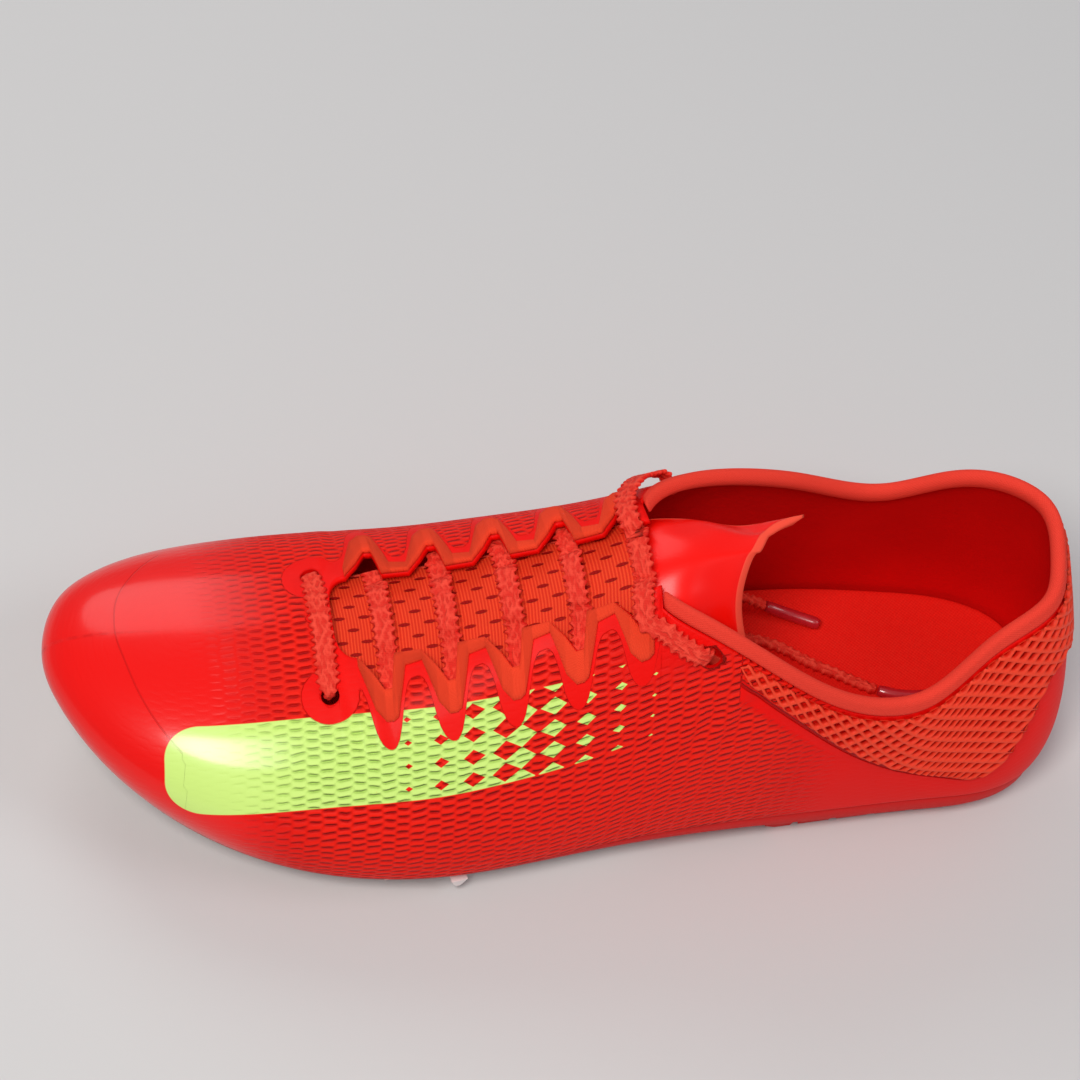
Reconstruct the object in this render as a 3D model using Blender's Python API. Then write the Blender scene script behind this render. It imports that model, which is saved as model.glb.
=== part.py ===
"""Left track spike shoe: upper, collar, tongue, lace, insole, foam, spike plate and pins.

Every soft piece is cut from one last surface. X runs from heel to toe, +Y is the outer
(lateral) side, Z is up, and the origin lies on the floor under the middle of the shoe.
"""
import math

import bmesh
import bpy
import numpy as np
from mathutils import Matrix

# Driving dimensions, in metres
shoe_length = 0.270
ball_width = 0.098
instep_height = 0.083
collar_back_height = 0.077
collar_dip_height = 0.058
medial_collar_lift = 0.003
wall = 0.0016
gap = 0.0003
overlay_gap = 0.0007

# Sole stack, from the floor up
pin_length = 0.006
plate_thickness = 0.0024
ball_foam = 0.003
heel_pad_thickness = 0.003
heel_foam = 0.0105
arch_lift = 0.003
toe_spring = 0.0148
foam_side_tuck = 0.0035
plate_inset = 0.0025
pad_inset = 0.005
pad_front = 0.082
pad_land = 0.0085
pad_groove = 0.0022
plate_back = 0.105
plate_taper_length = 0.020
plate_taper_width = 0.012
boss_height = 0.0010
boss_radius = 0.0048
tooth_height = 0.0032
groove_depth = 0.0014

# Pieces that lie on the last
bulge = 0.0045
collar_band = 0.0048
collar_thickness = 0.0042
collar_proud = 0.0010
eyestay_thickness = 0.0008
net_thickness = 0.0010
tongue_thickness = 0.0022
tongue_clearance = 0.0029
insole_thickness = 0.003
lace_width = 0.0058
lace_thickness = 0.0015
eyelet_lace_widths = (0.0042, 0.0036)
lace_end_diameter = 0.0030
tip_diameter = 0.0036
tip_length = 0.016

# Throat: its top corners, its round front end and the row of eyelet notches between
throat_top = 0.1231
throat_front = 0.1995
throat_top_half_width = 0.0094
throat_front_half_width = 0.0126
throat_round = 0.0075
front_notch = 0.1875
notch_pitch = 0.0152
notch_count = 5
notch_depth = 0.0094

# Places are measured from the heel here, and the origin moves at the end.
# Outline of the upper's lower edge: the same place along for both sides
outline_columns = ("along", "lateral", "medial")
outline_rows = (
    (0.015, 0.000, 0.000),
    (0.028, 0.225, 0.200),
    (0.075, 0.322, 0.290),
    (0.150, 0.348, 0.334),
    (0.250, 0.366, 0.356),
    (0.360, 0.394, 0.345),
    (0.470, 0.430, 0.358),
    (0.570, 0.468, 0.396),
    (0.660, 0.487, 0.436),
    (0.740, 0.464, 0.456),
    (0.820, 0.400, 0.450),
    (0.895, 0.290, 0.412),
    (0.950, 0.149, 0.342),
    (0.982, 0.000, 0.242),
    (0.992, -0.100, 0.115),
)

# Cross-sections of the last, by the place of their top point along the shoe. Ridge height is a
# share of instep_height, shift of ball_width, walls of the section's height, crowns of its half
# width (small ones are flatter), and belly of bulge.
section_columns = (
    "along", "ridge", "shift", "lateral_wall", "medial_wall", "lateral_crown", "medial_crown", "belly",
)
section_rows = (
    (0.135, 1.320, -0.010, 0.26, 0.70, 0.86, 0.42, 1.4),
    (0.250, 1.300, 0.004, 0.52, 0.58, 0.49, 0.38, 1.3),
    (0.360, 1.220, 0.020, 0.44, 0.66, 0.44, 0.30, 1.1),
    (0.440, 1.100, 0.022, 0.42, 0.68, 0.46, 0.30, 0.9),
    (0.500, 0.980, 0.018, 0.41, 0.70, 0.50, 0.28, 0.9),
    (0.580, 0.852, 0.004, 0.42, 0.70, 0.50, 0.30, 1.2),
    (0.660, 0.740, -0.018, 0.48, 0.68, 0.48, 0.38, 1.6),
    (0.740, 0.660, -0.046, 0.54, 0.68, 0.44, 0.44, 2.1),
    (0.810, 0.602, -0.064, 0.60, 0.70, 0.44, 0.44, 2.2),
    (0.875, 0.563, -0.080, 0.66, 0.72, 0.46, 0.46, 2.1),
)

# How much of each named height makes the upper's lower edge
feather_columns = ("along", "heel_stack", "ball_stack", "toe_spring", "arch_lift")
feather_rows = (
    (0.00, 1.00, 0.00, 0.00, 0.00),
    (0.12, 1.00, 0.00, 0.00, 0.00),
    (0.26, 0.85, 0.15, 0.00, 0.20),
    (0.38, 0.50, 0.50, 0.00, 0.85),
    (0.50, 0.20, 0.80, 0.00, 0.70),
    (0.58, 0.03, 0.97, 0.00, 0.15),
    (0.64, 0.00, 1.00, 0.00, 0.00),
    (0.70, 0.00, 1.00, 0.00, 0.00),
    (0.76, 0.00, 1.00, 0.03, 0.00),
    (0.84, 0.00, 1.00, 0.21, 0.00),
    (0.92, 0.00, 1.00, 0.55, 0.00),
    (1.00, 0.00, 1.00, 1.00, 0.00),
)

# Foam under the upper's edge, by how much it has of each named thickness
foam_columns = ("along", "heel_foam", "ball_foam")
foam_rows = (
    (0.00, 1.0, 0.0),
    (0.22, 1.0, 0.0),
    (0.36, 0.8, 0.2),
    (0.50, 0.4, 0.6),
    (0.58, 0.1, 0.9),
    (0.64, 0.0, 1.0),
    (0.70, 0.0, 1.0),
    (1.00, 0.0, 1.0),
)

# Top line of the collar above its dip: shares of the way up to its back and to the throat's
# corners, which the medial side keeps for longer
collar_columns = ("along", "back", "lateral_corner", "medial_corner")
collar_rows = (
    (0.000, 0.99, 0.00, 0.00),
    (0.030, 1.02, 0.00, 0.00),
    (0.075, 0.97, 0.00, 0.00),
    (0.130, 0.68, 0.00, 0.00),
    (0.180, 0.15, 0.00, 0.02),
    (0.225, 0.04, 0.04, 0.12),
    (0.280, 0.00, 0.26, 0.40),
    (0.350, 0.00, 0.65, 0.66),
    (0.410, 0.00, 0.92, 0.84),
    (0.470, 0.00, 1.00, 1.00),
)

# Notches: distance from the notch's tip toward the toe, and the depth there, in shares of
# notch_depth, of the throat's edge and of the lower edge of the strip that follows it
notch_columns = ("from_tip", "edge_depth", "strip_depth")
notch_rows = (
    (0.0068, 0.00, 0.28),
    (0.0034, 0.48, 1.45),
    (0.0009, 0.95, 1.80),
    (-0.0009, 0.93, 1.80),
    (-0.0020, 0.00, 1.70),
    (-0.0044, 0.00, 0.36),
)

# Eyelets cut through the upper: their place along, the side, their distance down from the
# opening's edge (or from the ridge in front of the throat) and their diameter
eyelet_columns = ("place", "side", "from_edge", "diameter")
eyelet_rows = (
    (0.2015, 1, 0.0215, 0.0046),
    (0.2025, -1, 0.0140, 0.0046),
    (0.1112, 1, 0.0050, 0.0056),
    (0.1112, -1, 0.0050, 0.0056),
)

# Net panel round the heel: how far it reaches down, as a share of the wall below the collar
net_columns = ("along", "depth")
net_rows = (
    (0.012, 0.30),
    (0.050, 0.34),
    (0.075, 0.56),
    (0.100, 0.77),
    (0.130, 0.78),
    (0.165, 0.67),
    (0.210, 0.49),
    (0.255, 0.32),
    (0.300, 0.19),
    (0.345, 0.12),
    (0.385, 0.08),
)

# Tongue, from its free end to the vamp: how far it reaches to each side, and how far it lies
# below the throat's line
tongue_columns = ("place", "lateral", "medial", "drop")
tongue_rows = (
    (0.080, 0.0325, 0.0215, 0.0085),
    (0.094, 0.0325, 0.0215, 0.0105),
    (0.106, 0.0305, 0.0215, 0.0085),
    (0.118, 0.0235, 0.0205, 0.0028),
    (0.128, 0.0200, 0.0195, 0.0005),
    (0.138, 0.0190, 0.0190, 0.0001),
    (0.160, 0.0190, 0.0190, 0.0000),
    (0.195, 0.0190, 0.0190, 0.0000),
    (0.214, 0.0150, 0.0150, 0.0000),
)
# The free end's place by the share across, from the medial edge (-1) to the lateral one (1)
tongue_end_columns = ("across", "place")
tongue_end_rows = (
    (-1.00, 0.0835),
    (-0.65, 0.0940),
    (-0.25, 0.0985),
    (0.00, 0.1010),
    (0.33, 0.1020),
    (0.67, 0.1025),
    (0.83, 0.1000),
    (1.00, 0.0950),
)

# Pins: place along, and across as a share of half the ball's width
pin_columns = ("along", "across")
pin_rows = (
    (0.655, 0.58),
    (0.675, -0.56),
    (0.735, 0.62),
    (0.775, -0.66),
    (0.840, 0.42),
    (0.865, -0.62),
    (0.925, -0.22),
)

# Teeth under the plate: place, across, turn in degrees, and length
tooth_columns = ("along", "across", "turn", "length")
tooth_rows = (
    (0.624, 0.86, 12, 0.010),
    (0.690, 0.80, 10, 0.010),
    (0.700, 0.10, 0, 0.014),
    (0.715, -0.30, 0, 0.012),
    (0.790, 0.62, -10, 0.010),
    (0.800, -0.10, 0, 0.016),
    (0.885, 0.06, -20, 0.012),
    (0.935, -0.56, 25, 0.009),
)

# Last run of the lace: out through the last notch, by distance across, then along under the
# collar to the top eyelet, by distance down from the collar's seat. Lift is a share of the height
# at which it clears the eyestay.
notch_run_columns = ("place", "distance", "lift")
notch_run_rows = (
    (0.1266, 0.0080, 0.10),
    (0.1266, 0.0104, 0.90),
    (0.1264, 0.0140, 1.00),
    (0.1258, 0.0170, 1.00),
)
seat_run_columns = ("place", "from_edge", "lift")
seat_run_rows = (
    (0.1228, 0.0044, 1.00),
    (0.1196, 0.0047, 0.92),
    (0.1163, 0.0049, 0.82),
    (0.1138, 0.0050, 0.74),
    (0.1119, 0.0050, 0.24),
    (0.1112, 0.0050, -0.90),
)

# Where the medial side's last run turns over the throat's edge
medial_turn_columns = ("place", "distance", "offset")
medial_turn_rows = (
    (0.1267, 0.0071, 0.0001),
    (0.1267, 0.0072, 0.0012),
    (0.1266, 0.0083, 0.0024),
)

# Each end of the front bar: distance in from its eyelet, offset and width
front_end_columns = ("from_eyelet", "offset", "width")
front_end_rows = (
    (0.0000, -0.0012, 0.0030),
    (0.0003, 0.0004, 0.0032),
    (0.0014, 0.0013, 0.0044),
)

# Free ends, from under the tongue to their tips, with the lift of their middle over the insole
end_columns = ("place", "across", "lift")
lateral_end_rows = (
    (0.0980, -0.0080, 0.0040),
    (0.0870, -0.0150, 0.0024),
    (0.0760, -0.0130, 0.0022),
    (0.0660, -0.0065, 0.0022),
    (0.0550, 0.0000, 0.0022),
    (0.0440, 0.0050, 0.0022),
    (0.0340, 0.0055, 0.0022),
)
medial_end_rows = (
    (0.1000, -0.0190, 0.0190),
    (0.0890, -0.0235, 0.0120),
    (0.0790, -0.0245, 0.0055),
    (0.0700, -0.0225, 0.0025),
    (0.0610, -0.0185, 0.0024),
)

heel_stack = heel_pad_thickness + gap + heel_foam + gap
ball_stack = pin_length + plate_thickness + gap + ball_foam + gap



def spline(knots, values):
    """Natural cubic spline through the rows, held level beyond its ends."""
    knots = np.asarray(knots, float)
    values = np.asarray(values, float)
    steps = np.diff(knots)
    count = len(knots)
    matrix = np.eye(count)
    right = np.zeros_like(values)
    for k in range(1, count - 1):
        matrix[k, k - 1 : k + 2] = steps[k - 1], 2 * (steps[k - 1] + steps[k]), steps[k]
        right[k] = 6 * ((values[k + 1] - values[k]) / steps[k] - (values[k] - values[k - 1]) / steps[k - 1])
    bends = np.linalg.solve(matrix, right)

    def at(place):
        place = np.clip(np.asarray(place, float), knots[0], knots[-1])
        k = np.clip(np.searchsorted(knots, place) - 1, 0, count - 2)
        step = steps[k]
        before = (knots[k + 1] - place) / step
        if values.ndim > 1:
            before, step = before[..., None], step[..., None]
        after = 1 - before
        bend = (before**3 - before) * bends[k] + (after**3 - after) * bends[k + 1]
        return before * values[k] + after * values[k + 1] + bend * step * step / 6

    return at


def closed_outline():
    """The upper's lower edge as a function of phase: 0 at the heel, 1 at the toe, and the medial
    side negative. The ring is laid three times end to end, so that the middle one closes smoothly."""
    rows = np.array(outline_rows)
    lateral = rows[:, [0, 1]] * (shoe_length, ball_width)
    medial = rows[:, [0, 2]] * (shoe_length, -ball_width)
    steps = sum(np.linalg.norm(np.diff(side, axis=0), axis=1) for side in (lateral, medial))
    phase = np.concatenate([[0], np.cumsum(steps)]) / steps.sum()
    knots = np.concatenate([-phase[::-1], phase[1:]])[:-1]
    ring = np.concatenate([medial[::-1], lateral[1:]])[:-1]
    return spline(np.concatenate([knots + turn for turn in (-2, 0, 2)]), np.tile(ring, (3, 1)))


def table(rows, named_sizes=None):
    """A spline of each column against the first one, times its named size where one is given."""
    rows = np.array(rows)
    sizes = np.ones(rows.shape[1] - 1) if named_sizes is None else np.array(named_sizes)
    return spline(rows[:, 0] * shoe_length, rows[:, 1:] * sizes)


outline = closed_outline()
sections = table(section_rows, (instep_height, ball_width, 1, 1, 1, 1, bulge))
feather_parts = table(feather_rows, (heel_stack, ball_stack, toe_spring, arch_lift))
foam_parts = table(foam_rows, (heel_foam, ball_foam))
first_section = section_rows[0][0] * shoe_length
last_section = section_rows[-1][0] * shoe_length
section_easing = 0.05 * shoe_length


def feather_height(x):
    return feather_parts(x).sum(-1)


def foam_bottom(x):
    return feather_height(x) - gap - foam_parts(x).sum(-1)


def ridge_place(x):
    """Where along the ridge the section that stands at x ends: at heel and toe they fan out."""
    low = 0.5 * (x + first_section + np.hypot(x - first_section, section_easing))
    return 0.5 * (low + last_section - np.hypot(low - last_section, section_easing))


def last_surface(phase, rise):
    """Point of the last at a phase round the foot, and a rise from the lower edge (0) to the ridge (1)."""
    phase, rise = np.broadcast_arrays(np.asarray(phase, float), np.asarray(rise, float))
    foot = outline(phase)
    along = ridge_place(foot[..., 0])
    columns = np.moveaxis(sections(along), -1, 0)
    ridge, shift, lateral_wall, medial_wall, lateral_crown, medial_crown, belly = columns
    slope = (sections(along + 1e-4)[..., 0] - sections(along - 1e-4)[..., 0]) / 2e-4
    top = np.stack([along, shift], -1)
    outward = foot - top
    reach = np.linalg.norm(outward, axis=-1)
    outward = outward / reach[..., None]
    lateral = (1 + outward[..., 1]) / 2
    side_wall = lateral * lateral_wall + (1 - lateral) * medial_wall
    crown = lateral * lateral_crown + (1 - lateral) * medial_crown
    low = feather_height(foot[..., 0])
    crown_reach = (1 - crown) * reach
    crown_height = ridge + slope * outward[..., 0] * crown_reach
    controls = (
        np.concatenate([foot, low[..., None]], -1),
        np.concatenate([foot + outward * belly[..., None], (low + side_wall * (ridge - low))[..., None]], -1),
        np.concatenate(
            [top + outward * crown_reach[..., None], crown_height[..., None]], -1
        ),
        np.concatenate([top, ridge[..., None]], -1),
    )
    t = rise[..., None]
    weights = ((1 - t) ** 3, 3 * t * (1 - t) ** 2, 3 * t**2 * (1 - t), t**3)
    return sum(weight * control for weight, control in zip(weights, controls))


def outward_normal(phase, rise):
    phase, rise = np.broadcast_arrays(np.asarray(phase, float), np.asarray(rise, float))
    step = 1e-3
    low_rise = np.clip(rise, 0.0, 0.97)
    around = last_surface(phase + step, low_rise) - last_surface(phase - step, low_rise)
    up = last_surface(phase, np.minimum(rise + step, 1)) - last_surface(phase, np.maximum(rise - step, 0))
    normal = np.cross(up, around)
    along = ridge_place(outline(phase)[..., 0])
    slope = (sections(along + 1e-4)[..., 0] - sections(along - 1e-4)[..., 0]) / 2e-4
    at_ridge = np.stack([-slope, np.zeros_like(slope), np.ones_like(slope)], -1)
    normal = normal / np.linalg.norm(normal, axis=-1, keepdims=True)
    near = np.clip((rise - 0.9) / 0.1, 0, 1)[..., None]
    normal = normal * (1 - near) + near * at_ridge
    return normal / np.linalg.norm(normal, axis=-1, keepdims=True)


def on_last(phase, rise, offset=0.0):
    """Point at an offset outwards from the last."""
    offset = np.asarray(offset, float)[..., None]
    return last_surface(phase, rise) + outward_normal(phase, rise) * offset


def solve_rise(wanted, low, high, steps=36):
    """The rise where wanted(rise) turns from negative to positive, by halving."""
    low, high = np.array(low, float), np.array(high, float)
    for _ in range(steps):
        middle = (low + high) / 2
        over = wanted(middle) > 0
        high = np.where(over, middle, high)
        low = np.where(over, low, middle)
    return (low + high) / 2


def rise_below(phase, rise, distance):
    """The rise a straight distance down the wall from another one."""
    start = last_surface(phase, rise)

    def short(candidate):
        return distance - np.linalg.norm(last_surface(phase, candidate) - start, axis=-1)

    return solve_rise(short, np.zeros_like(rise), rise)


phase_samples = np.linspace(0, 1, 1201)
ridge_samples = ridge_place(outline(phase_samples)[..., 0])


def phase_at(x):
    """The phase, on the lateral side, of the section whose ridge point is at x."""
    return np.interp(x, ridge_samples, phase_samples)


def throat_half_width(x):
    """Half the throat's width, without notches. Its front end is round."""
    share = np.clip((x - throat_top) / (throat_front - throat_top), 0, 1)
    width = throat_top_half_width + share * (throat_front_half_width - throat_top_half_width)
    into_end = np.clip((x - throat_front + throat_round) / throat_round, 0, 1)
    return width * (1 - into_end**3) ** (1 / 3)


def throat_rise(phase):
    """The rise of the throat's edge, without notches."""
    x = ridge_place(outline(phase)[..., 0])
    half = throat_half_width(x)
    top = last_surface(phase, 1.0)[..., :2]

    def inside(rise):
        return half - np.linalg.norm(last_surface(phase, rise)[..., :2] - top, axis=-1)

    return np.where(x >= throat_front, 1.0, solve_rise(inside, np.full_like(x, 0.3), np.ones_like(x)))


corner_phase = phase_at(throat_top)
corner_points = {
    side: last_surface(side * corner_phase, throat_rise(np.array(side * corner_phase))) for side in (1, -1)
}
collar_parts = table(collar_rows)


def collar_rise(phase):
    """The rise of the collar's top line."""
    phase = np.asarray(phase, float)
    medial = np.clip(0.5 - phase / 0.2, 0, 1)
    dip = collar_dip_height + medial * medial_collar_lift
    corner = corner_points[1][2] * (1 - medial) + corner_points[-1][2] * medial

    def above(rise):
        point = last_surface(phase, rise)
        back, lateral, inner = np.moveaxis(collar_parts(point[..., 0]), -1, 0)
        corner_share = lateral * (1 - medial) + inner * medial
        height = dip + (collar_back_height - dip) * back + (corner - dip) * corner_share
        return point[..., 2] - height

    return solve_rise(above, np.full_like(phase, 0.05), np.ones_like(phase))


def unit(vectors):
    return vectors / np.linalg.norm(vectors, axis=-1, keepdims=True)


def across(x, distance, offset=0.0, below=0.0):
    """Point over the ridge's place x, at a level distance across it and a straight distance
    further down the wall."""
    x, distance, offset, below = np.broadcast_arrays(
        *(np.asarray(value, float) for value in (x, distance, offset, below))
    )
    phase = np.where(distance < 0, -1.0, 1.0) * phase_at(x)
    top = last_surface(phase, 1.0)[..., :2]

    def inside(rise):
        return np.abs(distance) - np.linalg.norm(last_surface(phase, rise)[..., :2] - top, axis=-1)

    rise = solve_rise(inside, np.full_like(x, 0.3), np.ones_like(x))
    rise = np.where(below > 0, rise_below(phase, rise, below), rise)
    return on_last(phase, rise, offset)


notch_rises = sorted(
    (front_notch - notch_pitch * index + from_tip, edge_depth * notch_depth, strip_depth * notch_depth)
    for index in range(notch_count)
    for from_tip, edge_depth, strip_depth in notch_rows
)
notch_places, notch_depths, strip_depths = np.array(notch_rises).T


def opening_rise(phase):
    """The rise of the upper's top edge: the collar's seat, the notched throat, then the ridge."""
    phase = np.asarray(phase, float)
    x = ridge_place(outline(phase)[..., 0])
    throat = throat_rise(phase)
    depth = np.interp(x, notch_places, notch_depths, left=0, right=0)
    throat = np.where(depth > 1e-5, rise_below(phase, throat, np.maximum(depth, 1e-5)), throat)
    seat = rise_below(phase, collar_rise(phase), collar_band + gap)
    return np.where(np.abs(phase) >= corner_phase, throat, seat)


def below_edge(place, side, distance, offset=0.0):
    """Point a straight distance down the wall from the opening's edge."""
    phase = side * phase_at(np.asarray(place, float))
    start = np.where(np.asarray(place) > throat_front, 1.0, opening_rise(phase))
    return on_last(phase, rise_below(phase, start, np.asarray(distance, float)), offset)


def material(name, color, roughness, metallic=0.0):
    made = bpy.data.materials.new(name)
    made.use_nodes = True
    shader = made.node_tree.nodes["Principled BSDF"]
    shader.inputs["Base Color"].default_value = (*color, 1.0)
    shader.inputs["Roughness"].default_value = roughness
    shader.inputs["Metallic"].default_value = metallic
    made.diffuse_color = (*color, 1.0)
    return made


def solid(name, rings, surface, around=False, closed_top=None, collection=None, sharp=35):
    """Solid through rings of points. A ring runs along its outer side and back along its inner one,
    so that its ends are closed by a ladder between the two. closed_top marks the rings whose two
    sides of the shoe meet at the ridge, which leaves no rim to close there."""
    rings = np.asarray(rings, float)
    count, size = rings.shape[:2]
    half = size // 2
    mesh = bmesh.new()
    verts = [[mesh.verts.new(point) for point in ring] for ring in rings]
    for i in range(count if around else count - 1):
        for j in range(size):
            after, beside = (i + 1) % count, (j + 1) % size
            if closed_top is not None and j == half - 1 and closed_top[i] and closed_top[after]:
                continue
            mesh.faces.new((verts[i][j], verts[i][beside], verts[after][beside], verts[after][j]))
    if not around:
        for ring, points in ((verts[0], rings[0]), (verts[-1], rings[-1])):
            # A ring that has folded flat, at the heel or the toe, closes itself
            area = np.linalg.norm(np.cross(points, np.roll(points, -1, axis=0)).sum(0)) / 2
            for j in range(half - 1 if area > 1e-8 else 0):
                mesh.faces.new((ring[j], ring[j + 1], ring[size - 2 - j], ring[size - 1 - j]))
    bmesh.ops.remove_doubles(mesh, verts=mesh.verts, dist=1e-6)
    bmesh.ops.dissolve_degenerate(mesh, edges=mesh.edges, dist=1e-7)
    bmesh.ops.recalc_face_normals(mesh, faces=mesh.faces)
    data = bpy.data.meshes.new(name)
    mesh.to_mesh(data)
    mesh.free()
    data.shade_smooth()
    data.set_sharp_from_angle(angle=math.radians(sharp))
    data.materials.append(surface)
    made = bpy.data.objects.new(name, data)
    (collection or shoe).objects.link(made)
    return made


def between(outer, inner):
    """Rings from an outer and an inner grid with the same columns."""
    return np.concatenate([outer, inner[:, ::-1]], axis=1)


across_steps = 5


def ladder(phases, levels):
    """Rings across the sole. Each level is a pair of an inset from the outline and a height for each
    phase: the ring goes from the medial to the lateral side on the top and back on the bottom."""
    phases = np.asarray(phases, float)
    step = 1e-4
    sides = []
    for side in (-1, 1):
        foot = outline(side * phases)
        ahead = outline(side * (phases + step)) - outline(side * (phases - step))
        outward = unit(np.stack([ahead[:, 1], -ahead[:, 0]], -1)) * -side
        sides.append((foot, outward))
    rails = []
    for inset, height in levels:
        pair = []
        for foot, outward in sides:
            place = foot - outward * np.broadcast_to(inset, phases.shape)[:, None]
            pair.append(np.concatenate([place, np.broadcast_to(height, phases.shape)[:, None]], -1))
        rails.append(pair)
    medial = [rail[0] for rail in rails]
    lateral = [rail[1] for rail in rails]
    half = len(levels) // 2
    # The upper half of the levels is walked across the top, the lower half across the bottom
    spread = np.linspace(0, 1, across_steps)[:, None, None]
    top = medial[half - 1] * (1 - spread) + lateral[half - 1] * spread
    bottom = medial[half] * (1 - spread) + lateral[half] * spread
    upper = medial[: half - 1] + list(top) + lateral[: half - 1][::-1]
    lower = medial[half + 1 :][::-1] + list(bottom) + lateral[half + 1 :]
    return between(np.stack(upper, 1), np.stack(lower, 1))


def ribbon(points, normals, widths, thickness, corner_count=6):
    """Rings of a flat rounded cord along a path, lying on its normals."""
    points = np.asarray(points, float)
    ahead = unit(np.gradient(points, axis=0))
    normals = unit(normals - ahead * (normals * ahead).sum(-1, keepdims=True))
    beside = np.cross(ahead, normals)
    angles = (np.arange(corner_count) + 0.5) * 2 * np.pi / corner_count
    widths = np.broadcast_to(widths, len(points))
    reach = np.abs(np.cos(angles)) ** 0.6 * np.sign(np.cos(angles)) / np.cos(np.pi / corner_count) ** 0.6
    lift = np.abs(np.sin(angles)) ** 0.8 * np.sign(np.sin(angles)) / np.cos(np.pi / corner_count) ** 0.8
    return (
        points[:, None]
        + beside[:, None] * reach[None, :, None] * widths[:, None, None] / 2
        + normals[:, None] * lift[None, :, None] * np.broadcast_to(thickness, len(points))[:, None, None] / 2
    )


def smooth_path(knots, count):
    """Evenly spaced points on a spline through a few knots."""
    knots = np.array(knots, float)
    steps = np.concatenate([[0], np.cumsum(np.linalg.norm(np.diff(knots, axis=0), axis=1))])
    path = spline(steps, knots)
    fine = path(np.linspace(0, steps[-1], 400))
    run = np.concatenate([[0], np.cumsum(np.linalg.norm(np.diff(fine, axis=0), axis=1))])
    at = np.linspace(0, run[-1], count)
    return np.stack([np.interp(at, run, fine[:, k]) for k in range(3)], -1)


for old in list(bpy.data.objects):
    bpy.data.objects.remove(old)
shoe = bpy.data.collections.new("track_spike_shoe")
bpy.context.scene.collection.children.link(shoe)
cutters = bpy.data.collections.new("cutters")
cutters.hide_render = True
bpy.context.scene.collection.children.link(cutters)

red_film = material("red_knit", (0.80, 0.010, 0.008), 0.42)
orange_knit = material("orange_knit", (0.85, 0.070, 0.030), 0.85)
net_red = material("net_red", (0.82, 0.030, 0.015), 0.60)
tongue_red = material("tongue_red", (0.82, 0.020, 0.012), 0.60)
lace_red = material("lace_red", (0.80, 0.060, 0.045), 0.75)
tip_red = material("tip_red", (0.45, 0.010, 0.015), 0.30)
insole_red = material("insole_red", (0.78, 0.030, 0.020), 0.80)
foam_red = material("foam_red", (0.72, 0.015, 0.012), 0.70)
plate_white = material("plate_white", (0.86, 0.80, 0.78), 0.35)
heel_rubber = material("heel_rubber", (0.70, 0.012, 0.010), 0.65)
pin_steel = material("pin_steel", (0.62, 0.62, 0.64), 0.28, 1.0)

def mirrored(side_phases):
    """All columns round the foot, from the medial toe by the heel to the lateral toe."""
    side_phases = np.asarray(side_phases)
    return np.concatenate([-side_phases[::-1], side_phases[1:]])


in_throat = (notch_places > throat_top + 2e-4) & (notch_places < throat_front - 1e-4)
throat_phases = phase_at(notch_places[in_throat])

# Upper: one shell whose wall is worked out inwards from the last
front_phase = phase_at(throat_front)
seat_phases = np.linspace(0, corner_phase - 0.010, 18)
round_phases = phase_at(throat_front - throat_round * np.array([0.75, 0.45, 0.2, 0.06]))
toe_phases = np.linspace(front_phase + 0.012, 1.0, 12)
side_phases = np.concatenate(
    [
        seat_phases,
        [corner_phase - 0.0008, corner_phase],
        throat_phases,
        round_phases,
        [front_phase],
        toe_phases,
    ]
)
side_phases = np.unique(side_phases)
upper_phases = mirrored(side_phases)[1:]
rows = np.linspace(0, 1, 7)
edge = opening_rise(upper_phases)
edge = np.where(np.abs(upper_phases) >= front_phase - 1e-9, 1.0, edge)
phase_grid, rise_grid = upper_phases[:, None] + 0 * rows, edge[:, None] * rows
upper = solid(
    "upper",
    between(on_last(phase_grid, rise_grid), on_last(phase_grid, rise_grid, -wall)),
    red_film,
    around=True,
    closed_top=edge > 1 - 1e-9,
)

for index, (place, side, from_edge, diameter) in enumerate(eyelet_rows, 1):
    centre = below_edge(place, side, from_edge)
    direction = unit(below_edge(place, side, from_edge, 0.01) - centre)
    angles = np.linspace(0, 2 * np.pi, 12, endpoint=False)
    side_way = unit(np.cross(direction, (1.0, 0.0, 0.0)))
    front_way = np.cross(side_way, direction)
    circle = np.cos(angles)[:, None] * side_way + np.sin(angles)[:, None] * front_way
    rings = [centre + direction * depth + circle * diameter / 2 for depth in (-0.005, 0.005)]
    cutter = solid(f"eyelet_cutter_{index}", rings, red_film, collection=cutters)
    cutter.display_type = "WIRE"
    cutter.hide_render = True
    cut = upper.modifiers.new(f"eyelet_{index}", "BOOLEAN")
    cut.operation = "DIFFERENCE"
    cut.solver = "EXACT"
    cut.object = cutter

# Collar: a rounded band on top of the upper, squared off at the throat's corners
collar_end = corner_phase - 0.0022
collar_phases = mirrored([*seat_phases, collar_end])
top_rise = collar_rise(collar_phases)
low_rise = rise_below(collar_phases, top_rise, collar_band)
collar_profile = (
    (0.00, -0.20), (0.00, 0.60), (0.15, 1.00), (0.80, 0.95), (1.00, 0.50),
    (1.00, -0.15), (0.86, -0.70), (0.55, -1.00), (0.15, -0.95), (0.00, -0.60),
)
rings = []
for share, side in collar_profile:
    rise = low_rise + (top_rise - low_rise) * share
    rings.append(on_last(collar_phases, rise, collar_proud - collar_thickness / 2 * (1 - side)))
solid("collar", np.stack(rings, 1), orange_knit)

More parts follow.
